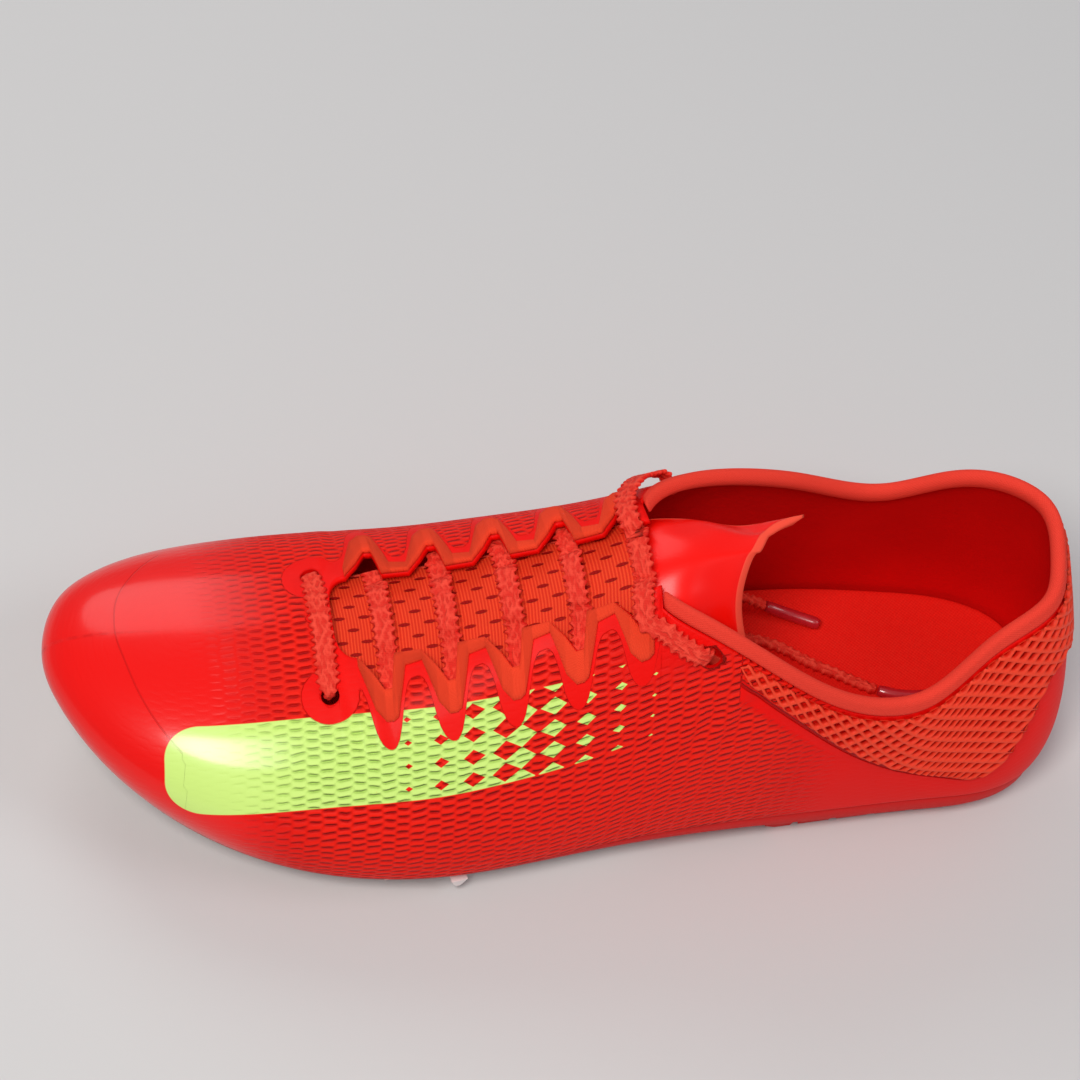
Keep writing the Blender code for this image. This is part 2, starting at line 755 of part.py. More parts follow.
# Eyestays: strips just above the upper, with its notched edge and a zigzag edge of their own
for name, side in (("eyestay_lateral", 1), ("eyestay_medial", -1)):
    phases = side * throat_phases
    low_edge = rise_below(phases, throat_rise(phases), strip_depths[in_throat])
    shares = np.linspace(0, 1, 4)
    rise = low_edge[:, None] + (opening_rise(phases) - low_edge)[:, None] * shares
    grid = phases[:, None] + 0 * shares
    top = on_last(grid, rise, overlay_gap + eyestay_thickness)
    solid(name, between(top, on_last(grid, rise, overlay_gap)), orange_knit)

# Net panel round the heel, under the collar
net_depth = table(net_rows)
net_end = phase_at(net_rows[-1][0] * shoe_length)
net_phases = mirrored([*seat_phases[seat_phases < net_end - 0.004], net_end])
seat = rise_below(net_phases, collar_rise(net_phases), collar_band + 4 * gap)
below = np.linalg.norm(last_surface(net_phases, seat) - last_surface(net_phases, 0.0), axis=-1)
shares = np.linspace(0, 1, 5)
foot = rise_below(net_phases, seat, net_depth(outline(net_phases)[..., 0])[..., 0] * below)
rise = foot[:, None] + (seat - foot)[:, None] * shares
grid = net_phases[:, None] + 0 * shares
net_top = on_last(grid, rise, overlay_gap + net_thickness)
solid("heel_net", between(net_top, on_last(grid, rise, overlay_gap)), net_red)

# Tongue: from its free end, which is longer on the medial side, down under the vamp
tongue_table = spline([row[0] for row in tongue_rows], [row[1:] for row in tongue_rows])
stations = np.linspace(0, 1, 14)[:, None]
spread = np.linspace(-1, 1, 9)[None, :]
tongue_end = spline([row[0] for row in tongue_end_rows], [row[1] for row in tongue_end_rows])(spread)
place = tongue_end + (tongue_rows[-1][0] - tongue_end) * stations
lateral_reach, medial_reach, drop = np.moveaxis(tongue_table(place), -1, 0)
half_width = np.where(spread > 0, lateral_reach, medial_reach)
lower = -(wall + tongue_clearance) - drop
tongue_top = across(place, half_width * spread, lower)
tongue_under = across(place, half_width * spread, lower - tongue_thickness)
solid("tongue", between(tongue_top, tongue_under), tongue_red)

# Insole and foam: slabs across the outline
slab_phases = np.concatenate([[0, 0.012, 0.03], np.linspace(0.06, 0.94, 19), [0.97, 0.988, 1.0]])
slab_x = outline(slab_phases)[..., 0]
feather = feather_height(slab_x)
inside = wall + 3 * gap
solid(
    "insole",
    ladder(slab_phases, ((inside, feather + insole_thickness), (inside, feather))),
    insole_red,
)
foam_low = foam_bottom(slab_x)
foam_top = feather - gap
solid(
    "midsole",
    ladder(
        slab_phases,
        (
            (0.0008, foam_top - 0.0004),
            (0.0016, foam_top),
            (foam_side_tuck, foam_low),
            (foam_side_tuck * 0.3, foam_top * 0.6 + foam_low * 0.4),
        ),
    ),
    foam_red,
)

# Spike plate under the forefoot, with bosses for the pins and teeth between them
plate_phases = np.concatenate([np.linspace(phase_at(plate_back), 0.94, 13), [0.97, 0.988, 1.0]])
plate_x = outline(plate_phases)[..., 0]
plate_top = foam_bottom(plate_x) - gap
plate_share = np.clip((plate_x - plate_x[0]) / plate_taper_length, 0, 1)
plate_inner = plate_inset + foam_side_tuck * 0.5 + plate_taper_width * (1 - plate_share) ** 2
plate_deep = plate_thickness * (0.5 + 0.5 * plate_share)
plate = solid(
    "spike_plate",
    ladder(plate_phases, ((plate_inner, plate_top), (plate_inner + 0.0012, plate_top - plate_deep))),
    plate_white,
)


def plate_under(x):
    return foam_bottom(x) - gap - plate_thickness


def sole_place(along, across_share):
    """Place under the sole, across between the outline's two sides."""
    x = along * shoe_length
    phase = np.interp(x, outline(phase_samples)[:, 0], phase_samples)
    lateral, medial = outline(phase)[1], outline(-phase)[1]
    middle = (lateral + medial) / 2
    return x, middle + across_share * (lateral - medial) / 2


def turned(name, centre, profile, surface, collection=None, sides=16):
    """Round solid on a vertical axis from its radii and heights, with closed ends."""
    angles = np.linspace(0, 2 * np.pi, sides, endpoint=False)
    circle = np.stack([np.cos(angles), np.sin(angles), np.zeros(sides)], -1)
    rings = [np.array(centre) + circle * radius + np.array((0, 0, height)) for radius, height in profile]
    return solid(name, rings, surface, collection=collection)


def union(target, part, name):
    part.display_type = "WIRE"
    part.hide_render = True
    join = target.modifiers.new(name, "BOOLEAN")
    join.operation = "UNION"
    join.solver = "EXACT"
    join.object = part


pins = []
for index, (along, share) in enumerate(pin_rows, 1):
    x, y = sole_place(along, share)
    under = plate_under(x)
    boss = turned(
        f"boss_{index}",
        (x, y, under),
        ((boss_radius * 0.9, 0.0008), (boss_radius, -boss_height * 0.4), (boss_radius * 0.82, -boss_height)),
        plate_white,
        cutters,
    )
    union(plate, boss, f"boss_{index}")
    # The ball's pins stand on the floor
    tip = -under if under - pin_length < 0.0005 else -pin_length
    profile = (
        (0.0030, -boss_height - gap),
        (0.0030, -boss_height - 0.0012),
        (0.0021, -boss_height - 0.0014),
        (0.0010, tip),
    )
    pins.append(turned(f"spike_{index}", (x, y, under), profile, pin_steel, sides=12))

for index, (along, share, turn, length) in enumerate(tooth_rows, 1):
    x, y = sole_place(along, share)
    under = plate_under(x)
    angle = math.radians(turn)
    way = np.array((-math.sin(angle), math.cos(angle), 0.0))
    front = np.array((math.cos(angle), math.sin(angle), 0.0))
    rings = []
    for at, size in ((-0.5, 0.55), (-0.35, 1.0), (0.35, 1.0), (0.5, 0.55)):
        centre = np.array((x, y, under)) + way * length * at
        rings.append(
            [
                centre + front * 0.0020 + np.array((0, 0, 0.0008)),
                centre + front * 0.0006 - np.array((0, 0, tooth_height * size)),
                centre - front * 0.0006 - np.array((0, 0, tooth_height * size)),
                centre - front * 0.0024 + np.array((0, 0, 0.0008)),
            ]
        )
    tooth = solid(f"tooth_{index}", rings, plate_white, collection=cutters)
    union(plate, tooth, f"tooth_{index}")

# Heel outsole: a flat pad on the floor with grooves across it
heel_end = outline(0.0)[0] + pad_inset
pad_places, pad_depths = [heel_end], [0.0]
place = heel_end + 0.010
while place + pad_groove < pad_front - 0.004:
    pad_places += [place, place + 0.0003, place + pad_groove - 0.0003, place + pad_groove]
    pad_depths += [0.0, groove_depth, groove_depth, 0.0]
    place += pad_land + pad_groove
pad_places += [pad_front - 0.003, pad_front]
pad_depths += [0.0, 0.0012]
outline_x = outline(phase_samples)[:, 0]
pad_phases = np.interp(pad_places, outline_x, phase_samples)
pad_phases = np.concatenate([[0, 0.008, 0.02, 0.035], pad_phases[1:]])
pad_depths = np.concatenate([[0, 0, 0, 0], pad_depths[1:]])
pad_x = outline(pad_phases)[..., 0]
pad_top = foam_bottom(pad_x) - gap
solid(
    "heel_outsole",
    ladder(pad_phases, ((pad_inset - 0.001, pad_top), (pad_inset, pad_depths))),
    heel_rubber,
)


# Lace: bars over the tongue joined by turns under the upper's edges, and on the lateral side a
# last run over the edge to the top eyelet
under_upper = -(wall + gap + lace_thickness / 2 + 0.0004)
over_upper = overlay_gap + eyestay_thickness + gap + lace_thickness / 2 + 0.0008


def bar_offset(distance, half):
    """A bar rises between the throat's edges and dives under them."""
    share = np.clip((half - 0.0012 - np.abs(distance)) / 0.0035, 0, 1)
    share = share * share * (3 - 2 * share)
    return under_upper + share * (-0.0002 - under_upper)


def lace_points(places, distances, offsets):
    half = throat_half_width(np.minimum(places, throat_front - throat_round))
    inner = np.clip(distances, -half, half)
    beyond = np.abs(distances) - np.abs(inner)
    return across(places, inner, offsets, np.maximum(beyond, 0))


def lace_solid(name, stretches, widths=lace_width):
    """A flat cord laid on the last, from stretches of (function, places, measures, offsets)."""
    points, raised = [], []
    for laid, places, measures, offsets in stretches:
        places, measures, offsets = (np.asarray(v, float) for v in (places, measures, offsets))
        points.append(laid(places, measures, offsets))
        raised.append(laid(places, measures, offsets + 0.002))
    points = np.concatenate(points)
    return solid(name, ribbon(points, np.concatenate(raised) - points, widths, lace_thickness), lace_red)


def top_run(side):
    """The two stretches of a lace's last run, on one side."""
    notch, seat = np.array(notch_run_rows), np.array(seat_run_rows)
    return [
        (lace_points, notch[:, 0], side * notch[:, 1], notch[:, 2] * over_upper),
        (
            lambda places, measures, offsets: below_edge(places, side, measures, offsets),
            seat[:, 0],
            seat[:, 1],
            seat[:, 2] * over_upper,
        ),
    ]


top_run_widths = [lace_width] * (len(notch_run_rows) + len(seat_run_rows) - 2) + list(eyelet_lace_widths)

tips = front_notch - notch_pitch * np.arange(notch_count)
turn_radius = notch_pitch / 2
turn_start = throat_front_half_width + 0.0040
places, distances, offsets = [], [], []
for index, tip in enumerate(tips):
    way = 1 if index % 2 == 0 else -1
    half = throat_half_width(np.minimum(tip, throat_front - throat_round))
    start = -way * turn_start
    bar = np.linspace(start, -start, 12)
    if index == notch_count - 1:
        bar = bar[np.abs(bar - start) < turn_start + half - 0.003]
    places += [tip] * len(bar)
    distances += list(bar)
    offsets += list(bar_offset(bar, half))
    if index < notch_count - 1:
        angles = np.linspace(0, np.pi, 8)[1:-1]
        places += list(tip - turn_radius + turn_radius * np.cos(angles))
        distances += list(way * (turn_start + turn_radius * np.sin(angles)))
        offsets += [under_upper] * len(angles)
lace_solid(
    "lace",
    [(lace_points, places, distances, offsets)] + top_run(1),
    [lace_width] * len(places) + top_run_widths,
)

# The medial side's last run rises beside the last bar and turns over the throat's edge
turn = np.array(medial_turn_rows)
medial_run = top_run(-1)
medial_run[0] = tuple(part if index == 0 else part[1:] for index, part in enumerate(medial_run[0]))
lace_solid(
    "lace_medial",
    [(lace_points, turn[:, 0], -turn[:, 1], turn[:, 2])] + medial_run,
    [lace_width] * len(turn) + top_run_widths[1:],
)

# Front bar, over the throat's front end, with both ends in their eyelets
front_end = np.array(front_end_rows)
lateral_hole, medial_hole = (side * from_edge for _, side, from_edge, _ in eyelet_rows[:2])
front_distances = np.concatenate(
    [
        medial_hole + front_end[:, 0],
        np.linspace(medial_hole + 0.0035, lateral_hole - 0.0035, 11),
        (lateral_hole - front_end[:, 0])[::-1],
    ]
)
front_lift = gap + lace_thickness / 2 + 0.0004
front_offsets = np.concatenate([front_end[:, 1], np.full(11, front_lift), front_end[::-1, 1]])
front_widths = np.concatenate([front_end[:, 2], np.full(11, lace_width), front_end[::-1, 2]])
front_places = np.linspace(eyelet_rows[1][0], eyelet_rows[0][0], len(front_distances))
lace_solid("lace_front", [(lace_points, front_places, front_distances, front_offsets)], front_widths)


def cord(name, knots, diameter, count, surface, sides=8):
    path = smooth_path(knots, count)
    up = np.tile((0.0, 0.0, 1.0), (count, 1))
    return solid(name, ribbon(path, up, diameter, diameter, sides), surface)


# Free ends, which lie on the insole with their tips
for name, end_rows in (("lateral", lateral_end_rows), ("medial", medial_end_rows)):
    knots = np.array(end_rows)
    knots[:, 2] += feather_height(knots[:, 0]) + insole_thickness
    path = smooth_path(knots, 400)
    run_length = np.concatenate([[0], np.cumsum(np.linalg.norm(np.diff(path, axis=0), axis=1))])
    split = np.searchsorted(run_length, run_length[-1] - tip_length)
    cord(f"lace_end_{name}", path[: split - 2 : 12], lace_end_diameter, 14, lace_red)
    cord(f"lace_tip_{name}", path[split + 2 :: 12], tip_diameter, 5, tip_red)


# The origin goes to the floor under the middle of the shoe
corners = np.array([vertex.co for made in shoe.objects for vertex in made.data.vertices])
low, high = corners.min(0), corners.max(0)
shift = -np.array(((low[0] + high[0]) / 2, (low[1] + high[1]) / 2, low[2]))
for made in [*shoe.objects, *cutters.objects]:
    made.data.transform(Matrix.Translation(shift))
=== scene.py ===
import math

import bmesh
import bpy
import numpy as np
from mathutils import Matrix, Vector


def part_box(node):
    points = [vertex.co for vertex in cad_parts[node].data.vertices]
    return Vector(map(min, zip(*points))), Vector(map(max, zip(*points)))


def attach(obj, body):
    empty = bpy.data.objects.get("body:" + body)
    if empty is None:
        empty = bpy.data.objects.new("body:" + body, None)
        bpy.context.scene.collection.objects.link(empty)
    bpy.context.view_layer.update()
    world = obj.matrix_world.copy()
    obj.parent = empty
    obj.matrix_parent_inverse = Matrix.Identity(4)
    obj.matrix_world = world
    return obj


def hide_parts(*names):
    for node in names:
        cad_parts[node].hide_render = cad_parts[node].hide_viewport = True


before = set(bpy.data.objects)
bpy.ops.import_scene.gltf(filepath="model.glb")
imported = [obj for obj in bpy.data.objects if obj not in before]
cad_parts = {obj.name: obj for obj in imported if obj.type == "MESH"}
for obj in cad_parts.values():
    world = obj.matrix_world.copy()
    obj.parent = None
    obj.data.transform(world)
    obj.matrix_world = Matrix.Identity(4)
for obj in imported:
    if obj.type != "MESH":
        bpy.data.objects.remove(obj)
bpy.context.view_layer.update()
scene = bpy.context.scene

# The last, in metres from the heel. Sizes and tables are the part's own.
last = {
    "shoeLength": 0.270,
    "ballWidth": 0.098,
    "instepHeight": 0.083,
    "collarBack": 0.077,
    "collarDip": 0.058,
    "medialLift": 0.003,
    "wall": 0.0016,
    "gap": 0.0003,
    "overlayGap": 0.0007,
    "bulge": 0.0045,
    "heelStack": 0.0141,
    "ballStack": 0.0120,
    "toeSpring": 0.0148,
    "archLift": 0.003,
    "heelFoam": 0.0105,
    "ballFoam": 0.003,
    "sideTuck": 0.0035,
    "collarBand": 0.0048,
    "firstPin": (0.655, 0.58),
}
throat = {
    "top": 0.1231,
    "front": 0.1995,
    "topHalf": 0.0094,
    "frontHalf": 0.0126,
    "round": 0.0075,
    "frontNotch": 0.1875,
    "pitch": 0.0152,
    "count": 5,
    "depth": 0.0094,
}
# Lower edge: along, lateral and medial, in shares of the length and the ball's width
outlineRows = (
    (0.015, 0.000, 0.000), (0.028, 0.225, 0.200), (0.075, 0.322, 0.290), (0.150, 0.348, 0.334),
    (0.250, 0.366, 0.356), (0.360, 0.394, 0.345), (0.470, 0.430, 0.358), (0.570, 0.468, 0.396),
    (0.660, 0.487, 0.436), (0.740, 0.464, 0.456), (0.820, 0.400, 0.450), (0.895, 0.290, 0.412),
    (0.950, 0.149, 0.342), (0.982, 0.000, 0.242), (0.992, -0.100, 0.115),
)
# Sections: along, ridge, shift, walls and crowns (lateral, medial), belly
sectionRows = (
    (0.135, 1.320, -0.010, 0.26, 0.70, 0.86, 0.42, 1.4),
    (0.250, 1.300, 0.004, 0.52, 0.58, 0.49, 0.38, 1.3),
    (0.360, 1.220, 0.020, 0.44, 0.66, 0.44, 0.30, 1.1),
    (0.440, 1.100, 0.022, 0.42, 0.68, 0.46, 0.30, 0.9),
    (0.500, 0.980, 0.018, 0.41, 0.70, 0.50, 0.28, 0.9),
    (0.580, 0.852, 0.004, 0.42, 0.70, 0.50, 0.30, 1.2),
    (0.660, 0.740, -0.018, 0.48, 0.68, 0.48, 0.38, 1.6),
    (0.740, 0.660, -0.046, 0.54, 0.68, 0.44, 0.44, 2.1),
    (0.810, 0.602, -0.064, 0.60, 0.70, 0.44, 0.44, 2.2),
    (0.875, 0.563, -0.080, 0.66, 0.72, 0.46, 0.46, 2.1),
)
# Lower edge's height: along, heel stack, ball stack, toe spring, arch lift
featherRows = (
    (0.00, 1.00, 0.00, 0.00, 0.00), (0.12, 1.00, 0.00, 0.00, 0.00), (0.26, 0.85, 0.15, 0.00, 0.20),
    (0.38, 0.50, 0.50, 0.00, 0.85), (0.50, 0.20, 0.80, 0.00, 0.70), (0.58, 0.03, 0.97, 0.00, 0.15),
    (0.64, 0.00, 1.00, 0.00, 0.00), (0.70, 0.00, 1.00, 0.00, 0.00), (0.76, 0.00, 1.00, 0.03, 0.00),
    (0.84, 0.00, 1.00, 0.21, 0.00), (0.92, 0.00, 1.00, 0.55, 0.00), (1.00, 0.00, 1.00, 1.00, 0.00),
)
# Foam: along, heel foam, ball foam
foamRows = (
    (0.00, 1.0, 0.0), (0.22, 1.0, 0.0), (0.36, 0.8, 0.2), (0.50, 0.4, 0.6),
    (0.58, 0.1, 0.9), (0.64, 0.0, 1.0), (0.70, 0.0, 1.0), (1.00, 0.0, 1.0),
)
# Collar's top line: along, share to its back, to the lateral corner, to the medial corner
collarRows = (
    (0.000, 0.99, 0.00, 0.00), (0.030, 1.02, 0.00, 0.00), (0.075, 0.97, 0.00, 0.00),
    (0.130, 0.68, 0.00, 0.00), (0.180, 0.15, 0.00, 0.02), (0.225, 0.04, 0.04, 0.12),
    (0.280, 0.00, 0.26, 0.40), (0.350, 0.00, 0.65, 0.66), (0.410, 0.00, 0.92, 0.84),
    (0.470, 0.00, 1.00, 1.00),
)
# Notches: from the tip, depth of the edge, depth of the strip below it
notchRows = (
    (0.0068, 0.00, 0.28), (0.0034, 0.48, 1.45), (0.0009, 0.95, 1.80),
    (-0.0009, 0.93, 1.80), (-0.0020, 0.00, 1.70), (-0.0044, 0.00, 0.36),
)
# Eyelets: place, side, distance down from the edge, diameter
eyeletRows = (
    (0.2015, 1, 0.0215, 0.0046), (0.2025, -1, 0.0140, 0.0046),
    (0.1112, 1, 0.0050, 0.0056), (0.1112, -1, 0.0050, 0.0056),
)


def spline(knots, values):
    knots, values = np.asarray(knots, float), np.asarray(values, float)
    steps, count = np.diff(knots), len(knots)
    matrix, right = np.eye(count), np.zeros_like(values)
    for k in range(1, count - 1):
        matrix[k, k - 1 : k + 2] = steps[k - 1], 2 * (steps[k - 1] + steps[k]), steps[k]
        ahead = (values[k + 1] - values[k]) / steps[k]
        right[k] = 6 * (ahead - (values[k] - values[k - 1]) / steps[k - 1])
    bends = np.linalg.solve(matrix, right)

    def at(place):
        place = np.clip(np.asarray(place, float), knots[0], knots[-1])
        k = np.clip(np.searchsorted(knots, place) - 1, 0, count - 2)
        step = steps[k]
        before = (knots[k + 1] - place) / step
        if values.ndim > 1:
            before, step = before[..., None], step[..., None]
        after = 1 - before
        bend = (before**3 - before) * bends[k] + (after**3 - after) * bends[k + 1]
        return before * values[k] + after * values[k + 1] + bend * step * step / 6

    return at


def rowSpline(rows, sizes):
    rows = np.array(rows)
    return spline(rows[:, 0] * last["shoeLength"], rows[:, 1:] * sizes)


def closedOutline():
    rows = np.array(outlineRows)
    lateral = rows[:, [0, 1]] * (last["shoeLength"], last["ballWidth"])
    medial = rows[:, [0, 2]] * (last["shoeLength"], -last["ballWidth"])
    steps = sum(np.linalg.norm(np.diff(side, axis=0), axis=1) for side in (lateral, medial))
    phase = np.concatenate([[0], np.cumsum(steps)]) / steps.sum()
    knots = np.concatenate([-phase[::-1], phase[1:]])[:-1]
    ring = np.concatenate([medial[::-1], lateral[1:]])[:-1]
    return spline(np.concatenate([knots + turn for turn in (-2, 0, 2)]), np.tile(ring, (3, 1)))


outline = closedOutline()
sections = rowSpline(sectionRows, (last["instepHeight"], last["ballWidth"], 1, 1, 1, 1, last["bulge"]))
featherParts = rowSpline(
    featherRows, (last["heelStack"], last["ballStack"], last["toeSpring"], last["archLift"])
)
foamParts = rowSpline(foamRows, (last["heelFoam"], last["ballFoam"]))
collarParts = rowSpline(collarRows, (1, 1, 1))
firstSection = sectionRows[0][0] * last["shoeLength"]
lastSection = sectionRows[-1][0] * last["shoeLength"]
sectionEasing = 0.05 * last["shoeLength"]


def featherHeight(x):
    return featherParts(x).sum(-1)


def foamBottom(x):
    return featherHeight(x) - last["gap"] - foamParts(x).sum(-1)


def ridgePlace(x):
    low = 0.5 * (x + firstSection + np.hypot(x - firstSection, sectionEasing))
    return 0.5 * (low + lastSection - np.hypot(low - lastSection, sectionEasing))


def unit(vectors):
    return vectors / np.linalg.norm(vectors, axis=-1, keepdims=True)


def ease(value, low, high):
    share = np.clip((np.asarray(value, float) - low) / (high - low), 0, 1)
    return share * share * (3 - 2 * share)


# Point of the last at a phase round the foot (0 heel, 1 toe, medial negative) and a rise up its wall
def lastSurface(phase, rise):
    phase, rise = np.broadcast_arrays(np.asarray(phase, float), np.asarray(rise, float))
    foot = outline(phase)
    along = ridgePlace(foot[..., 0])
    ridge, shift, lateralWall, medialWall, lateralCrown, medialCrown, belly = np.moveaxis(
        sections(along), -1, 0
    )
    slope = (sections(along + 1e-4)[..., 0] - sections(along - 1e-4)[..., 0]) / 2e-4
    top = np.stack([along, shift], -1)
    outward = foot - top
    reach = np.linalg.norm(outward, axis=-1)
    outward = outward / reach[..., None]
    lateral = (1 + outward[..., 1]) / 2
    sideWall = lateral * lateralWall + (1 - lateral) * medialWall
    crown = lateral * lateralCrown + (1 - lateral) * medialCrown
    low = featherHeight(foot[..., 0])
    crownReach = (1 - crown) * reach
    crownHeight = ridge + slope * outward[..., 0] * crownReach
    controls = (
        np.concatenate([foot, low[..., None]], -1),
        np.concatenate([foot + outward * belly[..., None], (low + sideWall * (ridge - low))[..., None]], -1),
        np.concatenate([top + outward * crownReach[..., None], crownHeight[..., None]], -1),
        np.concatenate([top, ridge[..., None]], -1),
    )
    t = rise[..., None]
    weights = ((1 - t) ** 3, 3 * t * (1 - t) ** 2, 3 * t**2 * (1 - t), t**3)
    return sum(weight * control for weight, control in zip(weights, controls))


def outwardNormal(phase, rise):
    phase, rise = np.broadcast_arrays(np.asarray(phase, float), np.asarray(rise, float))
    step = 1e-3
    lowRise = np.clip(rise, 0.0, 0.97)
    around = lastSurface(phase + step, lowRise) - lastSurface(phase - step, lowRise)
    up = lastSurface(phase, np.minimum(rise + step, 1)) - lastSurface(phase, np.maximum(rise - step, 0))
    normal = unit(np.cross(up, around))
    along = ridgePlace(outline(phase)[..., 0])
    slope = (sections(along + 1e-4)[..., 0] - sections(along - 1e-4)[..., 0]) / 2e-4
    atRidge = np.stack([-slope, np.zeros_like(slope), np.ones_like(slope)], -1)
    near = np.clip((rise - 0.9) / 0.1, 0, 1)[..., None]
    return unit(normal * (1 - near) + near * atRidge)


def onLast(phase, rise, offset=0.0):
    return lastSurface(phase, rise) + outwardNormal(phase, rise) * np.asarray(offset, float)[..., None]


def solveRise(wanted, low, high):
    low, high = np.array(low, float), np.array(high, float)
    for _ in range(30):
        middle = (low + high) / 2
        over = wanted(middle) > 0
        high = np.where(over, middle, high)
        low = np.where(over, low, middle)
    return (low + high) / 2


def riseBelow(phase, rise, distance):
    start = lastSurface(phase, rise)
    return solveRise(
        lambda candidate: distance - np.linalg.norm(lastSurface(phase, candidate) - start, axis=-1),
        np.zeros_like(rise),
        rise,
    )


phaseSamples = np.linspace(0, 1, 1201)
ridgeSamples = ridgePlace(outline(phaseSamples)[..., 0])


def phaseAt(x):
    return np.interp(x, ridgeSamples, phaseSamples)


def throatHalfWidth(x):
    share = np.clip((x - throat["top"]) / (throat["front"] - throat["top"]), 0, 1)
    width = throat["topHalf"] + share * (throat["frontHalf"] - throat["topHalf"])
    intoEnd = np.clip((x - throat["front"] + throat["round"]) / throat["round"], 0, 1)
    return width * (1 - intoEnd**3) ** (1 / 3)


def throatRise(phase):
    x = ridgePlace(outline(phase)[..., 0])
    half = throatHalfWidth(x)
    top = lastSurface(phase, 1.0)[..., :2]
    rise = solveRise(
        lambda rise: half - np.linalg.norm(lastSurface(phase, rise)[..., :2] - top, axis=-1),
        np.full_like(x, 0.3),
        np.ones_like(x),
    )
    return np.where(x >= throat["front"], 1.0, rise)


cornerPhase = phaseAt(throat["top"])
cornerHeight = {
    side: lastSurface(side * cornerPhase, throatRise(np.array(side * cornerPhase)))[2] for side in (1, -1)
}


def collarRise(phase):
    phase = np.asarray(phase, float)
    medial = np.clip(0.5 - phase / 0.2, 0, 1)
    dip = last["collarDip"] + medial * last["medialLift"]
    corner = cornerHeight[1] * (1 - medial) + cornerHeight[-1] * medial

    def above(rise):
        point = lastSurface(phase, rise)
        back, lateral, inner = np.moveaxis(collarParts(point[..., 0]), -1, 0)
        share = lateral * (1 - medial) + inner * medial
        return point[..., 2] - (dip + (last["collarBack"] - dip) * back + (corner - dip) * share)

    return solveRise(above, np.full_like(phase, 0.05), np.ones_like(phase))


# Point over the ridge's place x, at a level distance across it and a straight distance down the wall
def across(x, distance, offset=0.0, below=0.0):
    x, distance, offset, below = np.broadcast_arrays(
        *(np.asarray(value, float) for value in (x, distance, offset, below))
    )
    phase = np.where(distance < 0, -1.0, 1.0) * phaseAt(x)
    top = lastSurface(phase, 1.0)[..., :2]
    rise = solveRise(
        lambda rise: np.abs(distance) - np.linalg.norm(lastSurface(phase, rise)[..., :2] - top, axis=-1),
        np.full_like(x, 0.3),
        np.ones_like(x),
    )
    rise = np.where(below > 0, riseBelow(phase, rise, below), rise)
    return onLast(phase, rise, offset)


notchPlaces, notchDepths, stripDepths = np.array(
    sorted(
        (
            throat["frontNotch"] - throat["pitch"] * index + fromTip,
            edgeDepth * throat["depth"],
            stripDepth * throat["depth"],
        )
        for index in range(throat["count"])
        for fromTip, edgeDepth, stripDepth in notchRows
    )
).T


def openingRise(phase):
    phase = np.asarray(phase, float)
    x = ridgePlace(outline(phase)[..., 0])
    edge = throatRise(phase)
    depth = np.interp(x, notchPlaces, notchDepths, left=0, right=0)
    edge = np.where(depth > 1e-5, riseBelow(phase, edge, np.maximum(depth, 1e-5)), edge)
    seat = riseBelow(phase, collarRise(phase), last["collarBand"] + last["gap"])
    return np.where(np.abs(phase) >= cornerPhase, edge, seat)


def belowEdge(place, side, distance, offset=0.0):
    phase = side * phaseAt(np.asarray(place, float))
    start = np.where(np.asarray(place) > throat["front"], 1.0, openingRise(phase))
    return onLast(phase, riseBelow(phase, start, np.asarray(distance, float)), offset)


# The part's origin stands under the middle of the shoe, so the first pin gives the shift from the heel
def pinPlace(along, share):
    x = along * last["shoeLength"]
    phase = np.interp(x, outline(phaseSamples)[:, 0], phaseSamples)
    lateral, medial = outline(phase)[1], outline(-phase)[1]
    return np.array((x, (lateral + medial) / 2 + share * (lateral - medial) / 2, 0.0))


firstPinBox = np.array(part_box("spike_1"))
shift = firstPinBox.mean(0) * (1, 1, 0) - pinPlace(*last["firstPin"])
print("last ready, shift", np.round(shift, 5))


# Camera: the photo's angle to the shoe, turned by roll, in its square frame
cameraPlace = {
    "azimuth": 158.55,
    "elevation": 53.17,
    "roll": 15.13,
    "distance": 0.9507,
    "focalPixels": 3678.8,
    "framePixels": 1080,
    "lookAt": (0.1425, 0.0, 0.03),
    "right": -0.0001,
    "up": 0.0349,
}


def makeCamera(place):
    azimuth, elevation, roll = (math.radians(place[key]) for key in ("azimuth", "elevation", "roll"))
    level = math.cos(elevation)
    back = Vector((math.sin(azimuth) * level, -math.cos(azimuth) * level, math.sin(elevation)))
    right = Vector((math.cos(azimuth), math.sin(azimuth), 0))
    up = back.cross(right)
    target = Vector(place["lookAt"]) + Vector(shift)
    right, up = (
        right * math.cos(roll) + up * math.sin(roll),
        up * math.cos(roll) - right * math.sin(roll),
    )
    target = target + right * place["right"] + up * place["up"]
    data = bpy.data.cameras.new("photoCamera")
    data.sensor_width = 36
    data.lens = 36 * place["focalPixels"] / place["framePixels"]
    camera = bpy.data.objects.new("photoCamera", data)
    scene.collection.objects.link(camera)
    turn = Matrix((right, up, back)).transposed().to_4x4()
    camera.matrix_world = Matrix.Translation(target + back * place["distance"]) @ turn
    scene.camera = camera


makeCamera(cameraPlace)
print("camera set")


